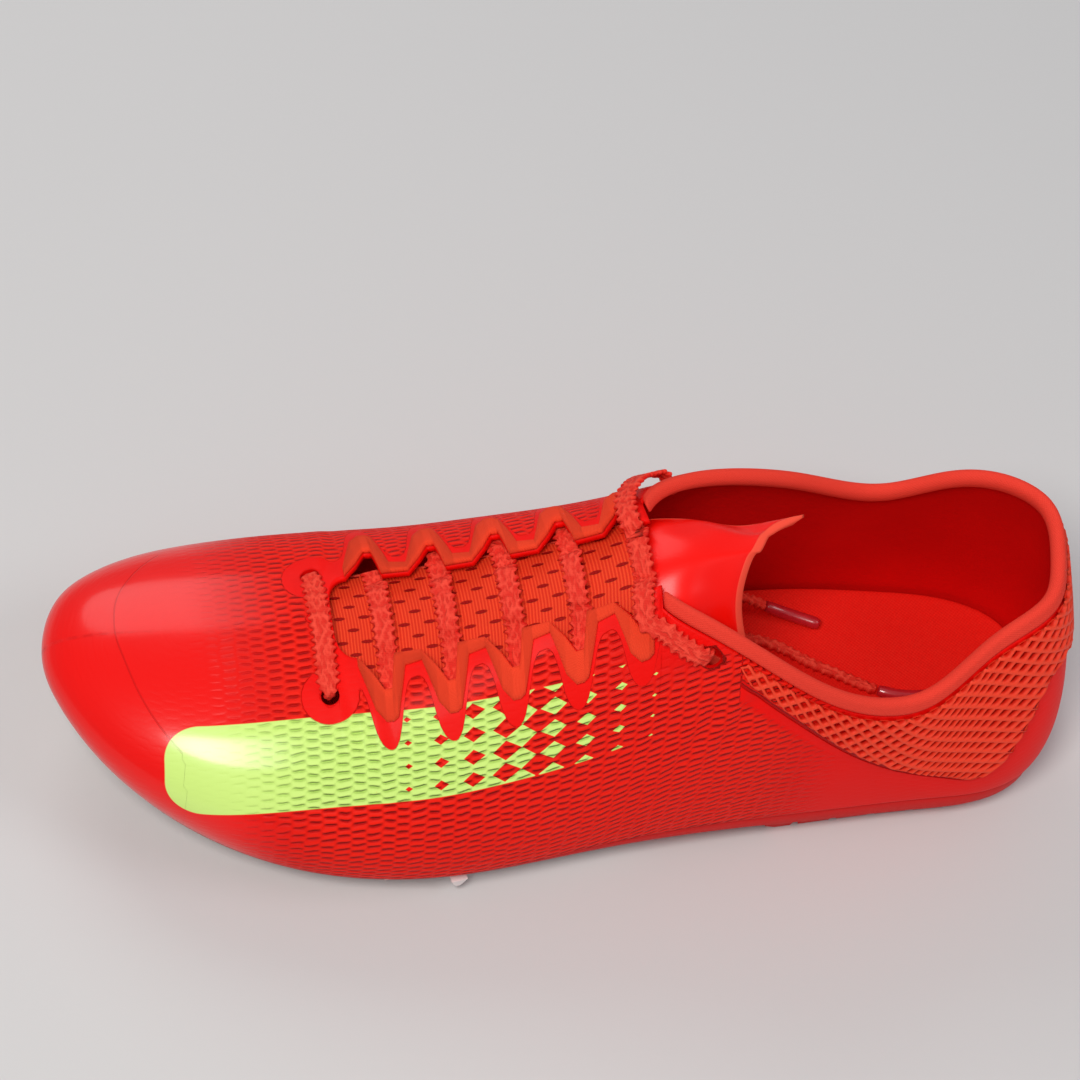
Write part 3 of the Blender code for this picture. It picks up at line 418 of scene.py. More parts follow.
# Shader building: arithmetic on a wrapped socket adds Math nodes
class Wire:
    def __init__(self, finish, socket):
        self.finish = finish
        self.socket = socket

    def math(self, operation, *others):
        inputs = dict(enumerate((self, *others)))
        return self.finish.node("ShaderNodeMath", {"operation": operation}, inputs)

    def __add__(self, other):
        return self.math("ADD", other)

    def __sub__(self, other):
        return self.math("SUBTRACT", other)

    def __rsub__(self, other):
        return self.finish.node("ShaderNodeMath", {"operation": "SUBTRACT"}, {0: other, 1: self})

    def __mul__(self, other):
        return self.math("MULTIPLY", other)

    def __truediv__(self, other):
        return self.math("DIVIDE", other)

    def __pow__(self, other):
        return self.math("POWER", other)

    __radd__ = __add__
    __rmul__ = __mul__

    def cos(self):
        return self.math("COSINE")

    def size(self):
        return self.math("ABSOLUTE")

    def part(self):
        return self.math("FRACT")

    def most(self, other):
        return self.math("MAXIMUM", other)

    def over(self, low, high):  # 0 below low, 1 above high, smooth between
        inputs = {"Value": self, "From Min": low, "From Max": high}
        return self.finish.node("ShaderNodeMapRange", {"interpolation_type": "SMOOTHSTEP"}, inputs)


class Finish:
    def __init__(self, name, **constants):
        self.material = bpy.data.materials.new(name)
        self.material.use_nodes = True
        self.tree = self.material.node_tree
        self.shader = self.tree.nodes["Principled BSDF"]
        for key, value in constants.items():
            self.feed(self.shader.inputs[key.replace("_", " ")], value)

    def feed(self, socket, value):
        if isinstance(value, Wire):
            self.tree.links.new(value.socket, socket)
        elif socket.type == "RGBA" and len(value) == 3:
            socket.default_value = (*value, 1.0)
        else:
            socket.default_value = value

    def node(self, kind, settings=None, inputs=None, output=0):
        made = self.tree.nodes.new(kind)
        for key, value in (settings or {}).items():
            setattr(made, key, value)
        for key, value in (inputs or {}).items():
            self.feed(made.inputs[key], value)
        return Wire(self, made.outputs[output])

    def give(self, **values):
        for key, value in values.items():
            self.feed(self.shader.inputs[key.replace("_", " ")], value)
        return self.material

    def measure(self, name):  # the three numbers that a piece's mesh holds for its finish
        vector = self.node("ShaderNodeAttribute", {"attribute_name": name}, output="Vector")
        return [self.node("ShaderNodeSeparateXYZ", None, {0: vector}, axis) for axis in range(3)]

    def place(self, x, y, z=0.0):
        return self.node("ShaderNodeCombineXYZ", None, {0: x, 1: y, 2: z})

    def objectPlace(self):
        return self.node("ShaderNodeTexCoord", output="Object")

    def noise(self, vector, scale, detail=3.0):
        inputs = {"Vector": vector, "Scale": scale, "Detail": detail}
        return self.node("ShaderNodeTexNoise", None, inputs)

    def mix(self, share, one, other):
        settings = {"data_type": "RGBA"}
        return self.node("ShaderNodeMix", settings, {0: share, 6: one, 7: other}, 2)

    def bump(self, height, distance, strength=1.0):
        inputs = {"Height": height, "Distance": distance, "Strength": strength}
        return self.node("ShaderNodeBump", None, inputs)


# Meshes from grids of points: rows run from one side to the other, columns along
def gridFaces(count, size, around=False, start=0, flip=False):
    i, j = np.meshgrid(np.arange(count if around else count - 1), np.arange(size - 1), indexing="ij")
    after = (i + 1) % count
    faces = np.stack([i * size + j, i * size + j + 1, after * size + j + 1, after * size + j], -1)
    faces = faces.reshape(-1, 4) + start
    return faces[:, ::-1] if flip else faces


def makeObject(name, points, faces, finishes, finishIndex=None, measures=None, sharp=None):
    mesh = bpy.data.meshes.new(name)
    mesh.from_pydata(np.asarray(points, float) + shift, [], [list(map(int, face)) for face in faces])
    for key, values in (measures or {}).items():
        layer = mesh.attributes.new(key, "FLOAT_VECTOR", "POINT")
        layer.data.foreach_set("vector", np.asarray(values, np.float32).ravel())
    for finish in finishes:
        mesh.materials.append(finish)
    if finishIndex is not None:
        mesh.polygons.foreach_set("material_index", np.asarray(finishIndex, np.int32))
    edit = bmesh.new()
    edit.from_mesh(mesh)
    bmesh.ops.remove_doubles(edit, verts=edit.verts, dist=2e-6)
    bmesh.ops.dissolve_degenerate(edit, edges=edit.edges, dist=1e-7)
    bmesh.ops.recalc_face_normals(edit, faces=edit.faces)
    edit.to_mesh(mesh)
    edit.free()
    mesh.shade_smooth()
    if sharp:
        mesh.set_sharp_from_angle(angle=math.radians(sharp))
    made = bpy.data.objects.new(name, mesh)
    scene.collection.objects.link(made)
    return made


# A shell from an outer and an inner grid with the same columns, closed along its rims
def makeShell(name, outer, inner, finishes, around=False, measures=None, closedTop=None, sharp=None):
    count, size = outer.shape[:2]
    total = count * size
    points = np.concatenate([outer.reshape(-1, 3), inner.reshape(-1, 3)])
    faces = [gridFaces(count, size, around), gridFaces(count, size, around, total, True)]
    index = np.arange(total).reshape(count, size)
    after = np.roll(index, -1, axis=0)
    if not around:
        index, after = index[:-1], after[:-1]
    rims = []
    for edge in (0, size - 1):
        strip = np.stack([index[:, edge], after[:, edge], after[:, edge] + total, index[:, edge] + total], -1)
        if edge and closedTop is not None:
            strip = strip[~(closedTop & np.roll(closedTop, -1))[: len(strip)]]
        rims.append(strip)
    if not around:
        for end in (0, count - 1):
            line = end * size + np.arange(size)
            rims.append(np.stack([line[:-1], line[1:], line[1:] + total, line[:-1] + total], -1))
    faces += rims
    kinds = np.concatenate([np.full(len(part), kind) for kind, part in zip((0, 1, *[0] * len(rims)), faces)])
    kinds = np.minimum(kinds, len(finishes) - 1)
    if measures:
        measures = {
            key: np.concatenate([np.asarray(value).reshape(-1, 3)] * 2) for key, value in measures.items()
        }
    return makeObject(name, points, np.concatenate(faces), finishes, kinds, measures, sharp)


def arcUp(points):
    steps = np.linalg.norm(np.diff(points, axis=1), axis=-1)
    return np.concatenate([np.zeros((len(points), 1)), np.cumsum(steps, axis=1)], axis=1)


def arcAlong(points):
    return np.concatenate([[0], np.cumsum(np.linalg.norm(np.diff(points, axis=0), axis=1))])


def dress(piece, slotName, *nodes):
    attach(piece, "root")
    if nodes:
        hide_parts(*nodes)
    return piece


# Upper: fine film over ridged knit
upperLook = {
    "red": (0.96, 0.002, 0.0),
    # The darker knit red is painted shade in the ridges' grooves and the crest red a painted highlight on
    # their crests.
    "knitGrooveShade": (0.58, 0.001, 0.001),
    "crestHighlightRed": (1.0, 0.014, 0.003),
    "lime": (0.76, 1.0, 0.27),
    # The darker lime is painted shade in the knit's grooves; on the crests the lime is lighter, a painted
    # highlight.
    "limeGrooveShade": (0.55, 0.86, 0.15),
    "ridgeLength": 3.7,  # millimetres, as are all sizes of the knit
    "ridgePitch": 2.1,
    "ridgeHeight": 0.0007,
    "toeFilm": (0.208, 0.236),
    "heelFilm": (0.096, 0.070),
    "bandWidth": 0.0034,
    "eyeletFilm": 0.0072,
    "block": {
        "front": 243.0, "solid": 196.0, "end": 118.0, "pitch": (8.0, 5.8),
        "middle": 38.0, "half": 11.6, "round": 9.0,
    },
    "worn": (0.72, 0.002, 0.001),
    # Seam colour: the toe's dark seam line, and painted shade along the net's lower edge.
    "seam": (0.30, 0.0, 0.0),
}
liningLook = {"color": (0.56, 0.001, 0.001), "light": (0.86, 0.004, 0.003), "grain": 900.0}


def upperFinish(look):
    skin = Finish("upperFilm", Specular_IOR_Level=0.14, Coat_Roughness=0.14)
    along, girth, belowNet = skin.measure("wrap")
    film, smooth, seam = skin.measure("zones")
    beside = belowNet.over(-1.0, 0.0) * (1 - belowNet.over(4.0, 8.0))
    smooth = smooth.most(beside)
    wobble = skin.noise(skin.place(along * 0.16, girth * 0.16), 1.0, 2.0) - 0.5
    # Lens ridges: each column stands half a step off the one beside it, steep on the lower side
    turn = (along / look["ridgeLength"] + wobble * 0.6) * math.pi
    turn = turn.cos()
    turn = turn * (1.6 - turn * turn * 0.6)
    drop = (girth.size() / look["ridgePitch"] + wobble * 0.9) * (2 * math.pi)
    wave = turn * drop.cos() + turn.size() * (drop * 2 - math.pi / 2).cos() * 0.3
    crest = 1 - ((1 - wave) * 0.5).most(0.0) ** 2.2
    filmed = film.over(-0.25, 0.15).most(smooth)
    bare = 1 - filmed
    toeShare = along.over(*(place * 1000 for place in look["toeFilm"]))
    relief = crest * (bare * 0.97 + 0.03)
    grain = skin.noise(skin.place(along, girth), 2.2, 3.0)
    edge = film.over(-0.2, 0.2) * 0.25
    line = 1 - seam.size().over(0.10, 0.35)
    # A groove just below the net's lower edge; its darker colour there is painted shade.
    groove = 1 - (belowNet - 0.9).size().over(0.2, 0.8)
    height = relief + grain * 0.05 + edge - line * 0.2 - groove * 0.9
    # A plain block with round corners, which fades into lozenges
    block = look["block"]
    cellU = (along / block["pitch"][0]).part() - 0.5
    cellV = (girth / block["pitch"][1]).part() - 0.5
    tile = cellU.size() + cellV.size()
    size = (along - block["end"]) / (block["solid"] - block["end"]) * 1.06
    dots = (size - tile).over(0.0, 0.03)
    ahead = (along - (block["front"] - block["round"])).most(0.0)
    aside = ((girth - block["middle"]).size() - (block["half"] - block["round"])).most(0.0)
    inside = (block["round"] - (ahead * ahead + aside * aside) ** 0.5).over(0.0, 0.3)
    lime = dots * inside * (1 - film.over(-0.25, 0.15))
    tone = skin.noise(skin.place(along * 0.05, girth * 0.05), 1.0, 2.0)
    # Bare knit: painted shade in the grooves and painted highlight on the crests, set by the ridge height.
    red = skin.mix(filmed, look["knitGrooveShade"], look["red"])
    red = skin.mix(crest * bare, red, look["crestHighlightRed"])
    red = skin.mix(tone * 0.22, red, look["worn"])
    # Lime: painted shade in the grooves and painted highlight on the crests, and lighter on the film.
    green = skin.mix(crest * bare * 0.7 + filmed * 0.7, look["limeGrooveShade"], look["lime"])
    color = skin.mix(lime, red, green)
    # Dark seam line at the toe, and painted shade in the groove below the net's edge.
    color = skin.mix(line * 0.2 + groove * 0.6, color, look["seam"])
    return skin.give(
        Base_Color=color,
        Roughness=0.52 - toeShare * 0.20 + grain * 0.10,
        Coat_Weight=toeShare * 0.5 + 0.02,
        Normal=skin.bump(height, look["ridgeHeight"], 1.0),
    )


def liningFinish(look):
    cloth = Finish("lining", Specular_IOR_Level=0.12)
    spot = cloth.objectPlace()
    grain = cloth.noise(spot, look["grain"], 2.0)
    broad = cloth.noise(spot, 40.0, 2.0)
    color = cloth.mix(broad * 0.6, look["color"], look["light"])
    return cloth.give(
        Base_Color=color, Roughness=0.62 + grain * 0.15, Normal=cloth.bump(grain, 0.00012, 0.7)
    )


# Net panel: its depth as a share of the wall below the collar
netRows = (
    (0.012, 0.30), (0.050, 0.34), (0.075, 0.56), (0.100, 0.77), (0.130, 0.78), (0.165, 0.67),
    (0.210, 0.49), (0.255, 0.32), (0.300, 0.19), (0.345, 0.12), (0.385, 0.08),
)
netDepth = rowSpline(netRows, (1,))
netEnd = phaseAt(netRows[-1][0] * last["shoeLength"])


# The net's upper edge, and how far it reaches down
def netReach(phases):
    seat = riseBelow(phases, collarRise(phases), last["collarBand"] + 4 * last["gap"])
    below = np.linalg.norm(lastSurface(phases, seat) - lastSurface(phases, 0.0), axis=-1)
    return seat, below, netDepth(outline(phases)[..., 0])[..., 0] * below


def finer(phases, step):
    parts = []
    for one, other in zip(phases[:-1], phases[1:]):
        parts.append(np.linspace(one, other, max(1, math.ceil((other - one) / step)), endpoint=False))
    return np.concatenate([*parts, [phases[-1]]])


def mirrored(sidePhases):
    return np.concatenate([-sidePhases[::-1], sidePhases[1:]])


inThroat = (notchPlaces > throat["top"] + 2e-4) & (notchPlaces < throat["front"] - 1e-4)
throatPhases = phaseAt(notchPlaces[inThroat])
frontPhase = phaseAt(throat["front"])
seatEnd = cornerPhase - 0.010
creases = (
    # place, girth from the ridge (lateral positive), length, width, depth, slant; in metres
    (0.196, 0.030, 0.030, 0.0026, 0.0005, 0.35),
    (0.187, 0.040, 0.026, 0.0024, 0.0004, 0.25),
    (0.196, -0.026, 0.026, 0.0026, 0.0005, -0.35),
    (0.100, 0.052, 0.024, 0.0030, 0.0006, -0.9),
    (0.112, 0.056, 0.020, 0.0026, 0.0005, -1.1),
    (0.100, -0.050, 0.022, 0.0030, 0.0005, 0.9),
)


def stripDepth(places):
    return np.interp(places, notchPlaces, stripDepths, left=0.004, right=0.004)


# Width of the film beside the strip, which is more below the strip's points
def bandDepth(places):
    share = stripDepth(places) / np.max(stripDepths)
    return upperLook["bandWidth"] * (1 + 1.1 * ease(share, 0.25, 1.0))


def makeUpper():
    roundShares = np.array([0.9, 0.75, 0.6, 0.45, 0.32, 0.2, 0.12, 0.06, 0.02])
    sidePhases = np.unique(
        np.concatenate(
            [
                np.linspace(0, seatEnd, 96),
                [cornerPhase - 0.0008, cornerPhase],
                finer(throatPhases, 0.0022),
                phaseAt(throat["front"] - throat["round"] * roundShares),
                [frontPhase],
                np.linspace(frontPhase + 0.006, 1.0, 84),
            ]
        )
    )
    phases = mirrored(sidePhases)[1:]
    rows = np.linspace(0, 1, 66)
    edge = openingRise(phases)
    edge = np.where(np.abs(phases) >= frontPhase - 1e-9, 1.0, edge)
    phaseGrid, riseGrid = phases[:, None] + 0 * rows, edge[:, None] * rows
    base = lastSurface(phaseGrid, riseGrid)
    normal = outwardNormal(phaseGrid, riseGrid)
    climb = arcUp(base)
    toRidge = edge[:, None] + (1 - edge[:, None]) * np.linspace(0, 1, 14)
    beyond = arcUp(lastSurface(phases[:, None] + 0 * toRidge, toRidge))[:, -1]
    fromEdge = climb[:, -1:] - climb
    sign = np.where(phases < 0, -1.0, 1.0)[:, None]
    girth = sign * (fromEdge + beyond[:, None])
    x = base[..., 0]
    # How far inside the film's zigzag band each point lies
    ridgeX = ridgePlace(outline(phases)[..., 0])
    strip = np.mean([stripDepth(ridgeX + step) for step in np.linspace(-0.0012, 0.0012, 7)], axis=0)
    notch = np.interp(ridgeX, notchPlaces, notchDepths, left=0, right=0)
    past = np.maximum(np.maximum(throat["top"] - ridgeX, ridgeX - throat["front"] - 0.001), 0)
    corners = [np.argmin(np.abs(phases - side * cornerPhase)) for side in (-1, 1)]
    cornerGirth = np.where(phases < 0, beyond[corners[0]], beyond[corners[1]])
    fromCorner = np.abs(girth) - cornerGirth[:, None]
    fromThroat = np.where((ridgeX < throat["top"])[:, None], fromCorner, fromEdge)
    film = (strip - notch + bandDepth(ridgeX) - 1.4 * past)[:, None] - fromThroat
    for place, side, down, _ in eyeletRows[:2]:
        fromEyelet = np.linalg.norm(base - belowEdge(place, side, down), axis=-1)
        film = np.maximum(film, upperLook["eyeletFilm"] - fromEyelet)
    toe = ease(x + 0.12 * np.maximum(girth, 0), *upperLook["toeFilm"])
    heel = ease(-x, *(-place for place in upperLook["heelFilm"]))
    quarter = ease(x, 0.080, 0.094) * (1 - ease(x, 0.122, 0.140)) * (1 - ease(fromCorner, 0.018, 0.030))
    smooth = np.maximum(np.maximum(toe, heel), quarter)
    seam = np.where(x > 0.238, climb - 0.024 - 0.35 * (x - 0.238), 0.01)
    relief = np.zeros_like(x)
    for place, girthAt, length, width, depth, slant in creases:
        du, dv = x - place, girth - girthAt
        line = du + slant * dv * 0.5
        run = np.exp(-((dv / (length * 0.5)) ** 2))
        relief += depth * run * (np.exp(-((line / width - 1.2) ** 2)) - np.exp(-((line / width) ** 2)))
    relief *= ease(fromEdge, 0.002, 0.008) * ease(climb, 0.003, 0.010)
    outer = base + normal * relief[..., None]
    inner = base - normal * last["wall"] + normal * relief[..., None]
    _, below, width = netReach(phases * np.minimum(1, netEnd / np.maximum(np.abs(phases), 1e-6)))
    belowNet = np.where(np.abs(phases) <= netEnd, below - width, 0.09)[:, None] - climb
    measures = {
        "wrap": np.stack([x * 1000, girth * 1000, belowNet * 1000], -1),
        "zones": np.stack([film * 1000, smooth, seam * 1000], -1),
    }
    made = makeShell(
        "upperShell", outer, inner, [upperFinish(upperLook), liningFinish(liningLook)], True, measures,
        closedTop=edge > 1 - 1e-9,
    )
    cutEyelets(made)
    dress(made, "upper_knit", "upper")
    return made


def cutEyelets(made):
    for index, (place, side, down, diameter) in enumerate(eyeletRows):
        centre = belowEdge(place, side, down)
        direction = unit(belowEdge(place, side, down, 0.01) - centre)
        bpy.ops.mesh.primitive_cylinder_add(vertices=40, radius=diameter / 2, depth=0.010)
        cutter = bpy.context.object
        cutter.name = f"eyeletPunch{index}"
        turn = Vector((0, 0, 1)).rotation_difference(Vector(direction)).to_matrix().to_4x4()
        cutter.matrix_world = Matrix.Translation(Vector(centre + shift)) @ turn
        cut = made.modifiers.new("eyelet", "BOOLEAN")
        cut.operation, cut.solver, cut.object = "DIFFERENCE", "EXACT", cutter
        bpy.context.view_layer.objects.active = made
        bpy.ops.object.modifier_apply(modifier=cut.name)
        bpy.data.objects.remove(cutter)


makeUpper()
print("upper made")


# Collar: a padded band of matt knit
collarLook = {
    "color": (0.86, 0.040, 0.022),
    "light": (1.0, 0.080, 0.048),
    "thickness": 0.0042,
    "proud": 0.0010,
    "rib": 0.9,
}
collarProfile = (
    (0.00, -0.20), (0.00, 0.60), (0.15, 1.00), (0.80, 0.95), (1.00, 0.50),
    (1.00, -0.15), (0.86, -0.70), (0.55, -1.00), (0.15, -0.95), (0.00, -0.60),
)


def knitFinish(name, look, pitch, depth):
    cloth = Finish(name, Specular_IOR_Level=0.15)
    run, down, _ = cloth.measure("wrap")
    stitch = (run * (2 * math.pi / pitch)).cos() * (down * (2 * math.pi / (pitch * 0.8))).cos()
    grain = cloth.noise(cloth.place(run, down), 1.6, 3.0)
    # The stitch term lightens the stitches' tops: painted highlight; the grain term is random tone.
    color = cloth.mix(grain * 0.5 + stitch * 0.2 + 0.1, look["color"], look["light"])
    return cloth.give(
        Base_Color=color,
        Roughness=0.78 + grain * 0.12,
        Normal=cloth.bump(stitch * 0.5 + grain * 0.7, depth, 0.8),
    )


def makeCollar():
    look = collarLook
    frontPhases = np.linspace(seatEnd, cornerPhase - 0.0022, 8)[1:]
    phases = mirrored(np.concatenate([np.linspace(0, seatEnd, 150), frontPhases]))
    topRise = collarRise(phases)
    lowRise = riseBelow(phases, topRise, last["collarBand"])
    profile = np.array(collarProfile)
    closed = np.concatenate([profile, profile[:1]])
    knots = arcAlong(closed * (1.0, 0.32))
    fine = np.linspace(0, knots[-1], 34, endpoint=False)
    ring = np.stack([np.interp(fine, knots, closed[:, k]) for k in (0, 1)], -1)
    for _ in range(2):  # round the profile's corners
        ring = (np.roll(ring, 1, axis=0) + 2 * ring + np.roll(ring, -1, axis=0)) / 4
    rings = []
    for share, side in ring:
        rise = lowRise + (topRise - lowRise) * share
        rings.append(onLast(phases, rise, look["proud"] - look["thickness"] / 2 * (1 - side)))
    rings = np.stack(rings, 1)
    count, size = rings.shape[:2]
    # Rounded ends
    middle = rings.mean(1, keepdims=True)
    for end, inner in ((0, 1), (-1, -2)):
        rings[end] = middle[end] + (rings[end] - middle[end]) * 0.80
        rings[inner] = middle[inner] + (rings[inner] - middle[inner]) * 0.95
    run = arcAlong(middle[:, 0])
    measures = np.stack(
        [
            np.repeat(run[:, None], size, 1) * 1000,
            np.tile(fine / knots[-1] * 17.0, (count, 1)),
            np.zeros((count, size)),
        ],
        -1,
    )
    faces = list(gridFaces(count, size))
    for i in range(count - 1):
        faces.append((i * size + size - 1, i * size, (i + 1) * size, (i + 1) * size + size - 1))
    points = [*rings.reshape(-1, 3), middle[0, 0], middle[-1, 0]]
    for j in range(size):
        beside = (j + 1) % size
        faces.append((count * size, j, beside))
        faces.append((count * size + 1, (count - 1) * size + beside, (count - 1) * size + j))
    measures = np.concatenate([measures.reshape(-1, 3), measures[0, :1], measures[-1, :1]])
    made = makeObject(
        "collarBand", points, faces, [knitFinish("collarKnit", look, look["rib"], 0.00016)],
        measures={"wrap": measures},
    )
    return dress(made, "collar_knit", "collar")


makeCollar()
print("collar made")


# Eyestays: matt strips with round edges that follow the notches
stripLook = {"color": (0.90, 0.046, 0.014), "light": (1.0, 0.080, 0.028), "thickness": 0.0008}


def makeStrip(name, side, node):
    phases = side * finer(throatPhases, 0.0016)
    ridgeX = ridgePlace(outline(phases)[..., 0])
    lowEdge = riseBelow(phases, throatRise(phases), np.interp(ridgeX, notchPlaces, stripDepths))
    shares = np.linspace(0, 1, 9)
    rise = lowEdge[:, None] + (openingRise(phases) - lowEdge)[:, None] * shares
    grid = phases[:, None] + 0 * shares
    crown = 1 - (2 * shares - 1) ** 6
    height = last["overlayGap"] + stripLook["thickness"] * (0.45 + 0.55 * crown)
    top = onLast(grid, rise, height + 0 * grid)
    under = onLast(grid, rise, last["overlayGap"] - 0.0006 + 0 * grid)
    run = arcUp(np.swapaxes(top, 0, 1)).T
    measures = {"wrap": np.stack([run * 1000, arcUp(top) * 1000, 0 * run], -1)}
    finish = knitFinish(f"{name}Knit", stripLook, 0.8, 0.00012)
    made = makeShell(name, top, under, [finish], measures=measures)
    return dress(made, "collar_knit", node)


makeStrip("lateralStrip", 1, "eyestay_lateral")
makeStrip("medialStrip", -1, "eyestay_medial")
print("eyestays made")


# Heel net: one ring of faces round each hole of a diamond lattice, laid over the heel
netLook = {
    # The dark colour is painted shade down the cords' sides into the holes, the light one a painted highlight
    # on the cord tops.
    "color": (0.60, 0.006, 0.002),
    "light": (1.0, 0.070, 0.026),
    "cell": (0.0047, 0.0039),
    "hole": 0.60,
    "thickness": 0.0010,
    "levels": (  # share of the way in to the hole, height
        (0.0, 1.00), (0.35, 0.98), (0.72, 0.78), (0.95, 0.45), (1.0, 0.15), (1.0, -0.35),
    ),
}


def netFinish(look):
    cord = Finish("netCord", Specular_IOR_Level=0.2)
    run, down, crown = cord.measure("wrap")
    grain = cord.noise(cord.place(run, down), 1.2, 3.0)
    # Lighter with the cord's height: painted highlight on the tops, painted shade down into the holes.
    color = cord.mix(crown * 0.75 + grain * 0.2, look["color"], look["light"])
    return cord.give(
        Base_Color=color, Roughness=0.46 + grain * 0.15, Normal=cord.bump(grain, 0.0001, 0.5)
    )


def makeNet():
    look = netLook
    phases = mirrored(np.linspace(0, netEnd, 120))
    seat, below, width = netReach(phases)
    seatLine = lastSurface(phases, seat)
    run = arcAlong(seatLine)
    # Rise as a function of distance down, on a table of columns
    downs = np.linspace(0, 1, 14)
    rises = np.stack([riseBelow(phases, seat, np.maximum(width * down, 1e-6)) for down in downs], 1)

    def lay(u, v, offset):
        phase = np.interp(u, run, phases)
        share = np.clip(v / np.interp(u, run, width), 0, 1)
        column = np.clip(np.searchsorted(run, u) - 1, 0, len(run) - 2)
        mixU = np.clip((u - run[column]) / (run[column + 1] - run[column]), 0, 1)
        place = share * (len(downs) - 1)
        row = np.clip(place.astype(int), 0, len(downs) - 2)
        mixV = place - row
        low = rises[column, row] * (1 - mixV) + rises[column, row + 1] * mixV
        high = rises[column + 1, row] * (1 - mixV) + rises[column + 1, row + 1] * mixV
        return onLast(phase, low * (1 - mixU) + high * mixU, offset)

    cellU, cellV = look["cell"]
    angles = np.linspace(0, 2 * np.pi, 12, endpoint=False)
    # A diamond and a rounder hole inside it, by angle
    diamond = 0.5 / (np.abs(np.cos(angles)) + np.abs(np.sin(angles)))
    holeShape = (diamond + 0.36) / 2 * look["hole"]
    cosines, sines = np.cos(angles) * cellU, np.sin(angles) * cellV
    cells = []
    columns = int(run[-1] / cellU) + 2
    lines = int(width.max() / (cellV / 2)) + 2
    for line in range(lines):
        for column in range(columns):
            centreU = (column + (0.5 if line % 2 else 0.0)) * cellU
            centreV = line * cellV / 2
            if centreU > run[-1] or centreV > np.interp(centreU, run, width):
                continue
            for share, height in look["levels"]:
                radius = diamond * (1 - share) + holeShape * share
                cells.append((centreU + radius * cosines, centreV + radius * sines, height + 0 * radius))
    us, vs, heights = np.moveaxis(np.array(cells).reshape(-1, len(look["levels"]), 3, len(angles)), 2, 0)
    us = np.clip(us, 0, run[-1])
    limit = np.interp(us, run, width)
    edgeFade = ease(np.minimum(vs, limit - vs), 0.0, 0.0006) * ease(np.minimum(us, run[-1] - us), 0, 0.002)
    vs = np.clip(vs, 0, limit)
    offset = last["overlayGap"] * 0.5 + (look["thickness"] * heights + 0.00035) * (0.35 + 0.65 * edgeFade)
    points = lay(us, vs, np.maximum(offset, 0.00002))
    index = np.arange(us.size).reshape(us.shape)
    beside = np.roll(index, -1, axis=2)
    faces = np.stack([index[:, :-1], beside[:, :-1], beside[:, 1:], index[:, 1:]], -1).reshape(-1, 4)
    measures = np.stack([us * 1000, vs * 1000, np.clip(heights, 0, 1)], -1)
    made = makeObject(
        "heelNet", points.reshape(-1, 3), faces, [netFinish(look)], measures={"wrap": measures.reshape(-1, 3)}
    )
    return dress(made, "heel_mesh", "heel_net")


makeNet()
print("net made")


# Tongue: ribbed mesh with painted highlight on its rib tops and rows of slits painted dark as painted shade,
# and a smooth end with a lighter edge
tongueLook = {
    # The mesh colour is painted shade between the ribs and the lighter mesh colour a painted highlight on
    # their tops; the hole colour is painted shade seen through the slits.
    "mesh": (0.72, 0.016, 0.005),
    "ribTopHighlight": (1.0, 0.085, 0.022),
    "hole": (0.36, 0.002, 0.001),
    "smooth": (1.0, 0.004, 0.001),
    "edge": (1.0, 0.085, 0.045),
    "thickness": 0.0022,
    "clearance": 0.0029,
    "folds": 0.0005,
    "smoothFrom": 0.128,
    "rows": (
        (0.080, 0.0325, 0.0215, 0.0085), (0.094, 0.0325, 0.0215, 0.0105), (0.106, 0.0305, 0.0215, 0.0085),
        (0.118, 0.0235, 0.0205, 0.0028), (0.128, 0.0200, 0.0195, 0.0005), (0.138, 0.0190, 0.0190, 0.0001),
        (0.160, 0.0190, 0.0190, 0.0000), (0.195, 0.0190, 0.0190, 0.0000), (0.214, 0.0150, 0.0150, 0.0000),
    ),
    "end": (
        (-1.00, 0.0835), (-0.65, 0.0940), (-0.25, 0.0985), (0.00, 0.1010),
        (0.33, 0.1020), (0.67, 0.1025), (0.83, 0.1000), (1.00, 0.0950),
    ),
}


def tongueFinish(look):
    cloth = Finish("tongueMesh", Specular_IOR_Level=0.18, Coat_Roughness=0.25)
    along, side, border = cloth.measure("wrap")
    smooth = (-1 * along).over(-look["smoothFrom"] * 1000 - 3, -look["smoothFrom"] * 1000)
    rib = (along * (2 * math.pi / 0.75)).cos() * 0.5 + 0.5
    odd = (side / 7.6).part() - 0.5
    shifted = along / 6.0 + (odd.over(-0.001, 0.001)) * 0.5
    u = shifted.part() - 0.5
    v = (side / 3.8).part() - 0.5
    lens = 1 - ((u * 3.6) ** 2 + (v * 6.0) ** 2) ** 0.5
    hole = lens.over(0.0, 0.4) * (1 - smooth)
    edge = 1 - border.over(1.9, 2.2)
    grain = cloth.noise(cloth.place(along, side), 1.5, 3.0)
    # Lighter on the rib tops: painted highlight; dark in the slits: painted shade.
    color = cloth.mix(rib * 0.75 + grain * 0.2, look["mesh"], look["ribTopHighlight"])
    color = cloth.mix(hole, color, look["hole"])
    color = cloth.mix(smooth, color, look["smooth"])
    color = cloth.mix(edge, color, look["edge"])
    height = (rib * 0.5 - hole * 1.6) * (1 - smooth) + grain * 0.15 + edge * 0.6
    return cloth.give(
        Base_Color=color,
        Roughness=0.62 - smooth * (1 - edge) * 0.28 + grain * 0.1,
        Coat_Weight=smooth * (1 - edge) * 0.25,
        Normal=cloth.bump(height, 0.00022, 0.9),
    )


# A fine grid through a coarse one
def refined(grid, count, size):
    grid = spline(np.linspace(0, 1, grid.shape[0]), grid.reshape(len(grid), -1))(
        np.linspace(0, 1, count)
    ).reshape(count, *grid.shape[1:])
    turned = np.swapaxes(grid, 0, 1)
    turned = spline(np.linspace(0, 1, len(turned)), turned.reshape(len(turned), -1))(np.linspace(0, 1, size))
    return np.swapaxes(turned.reshape(size, count, *grid.shape[2:]), 0, 1)


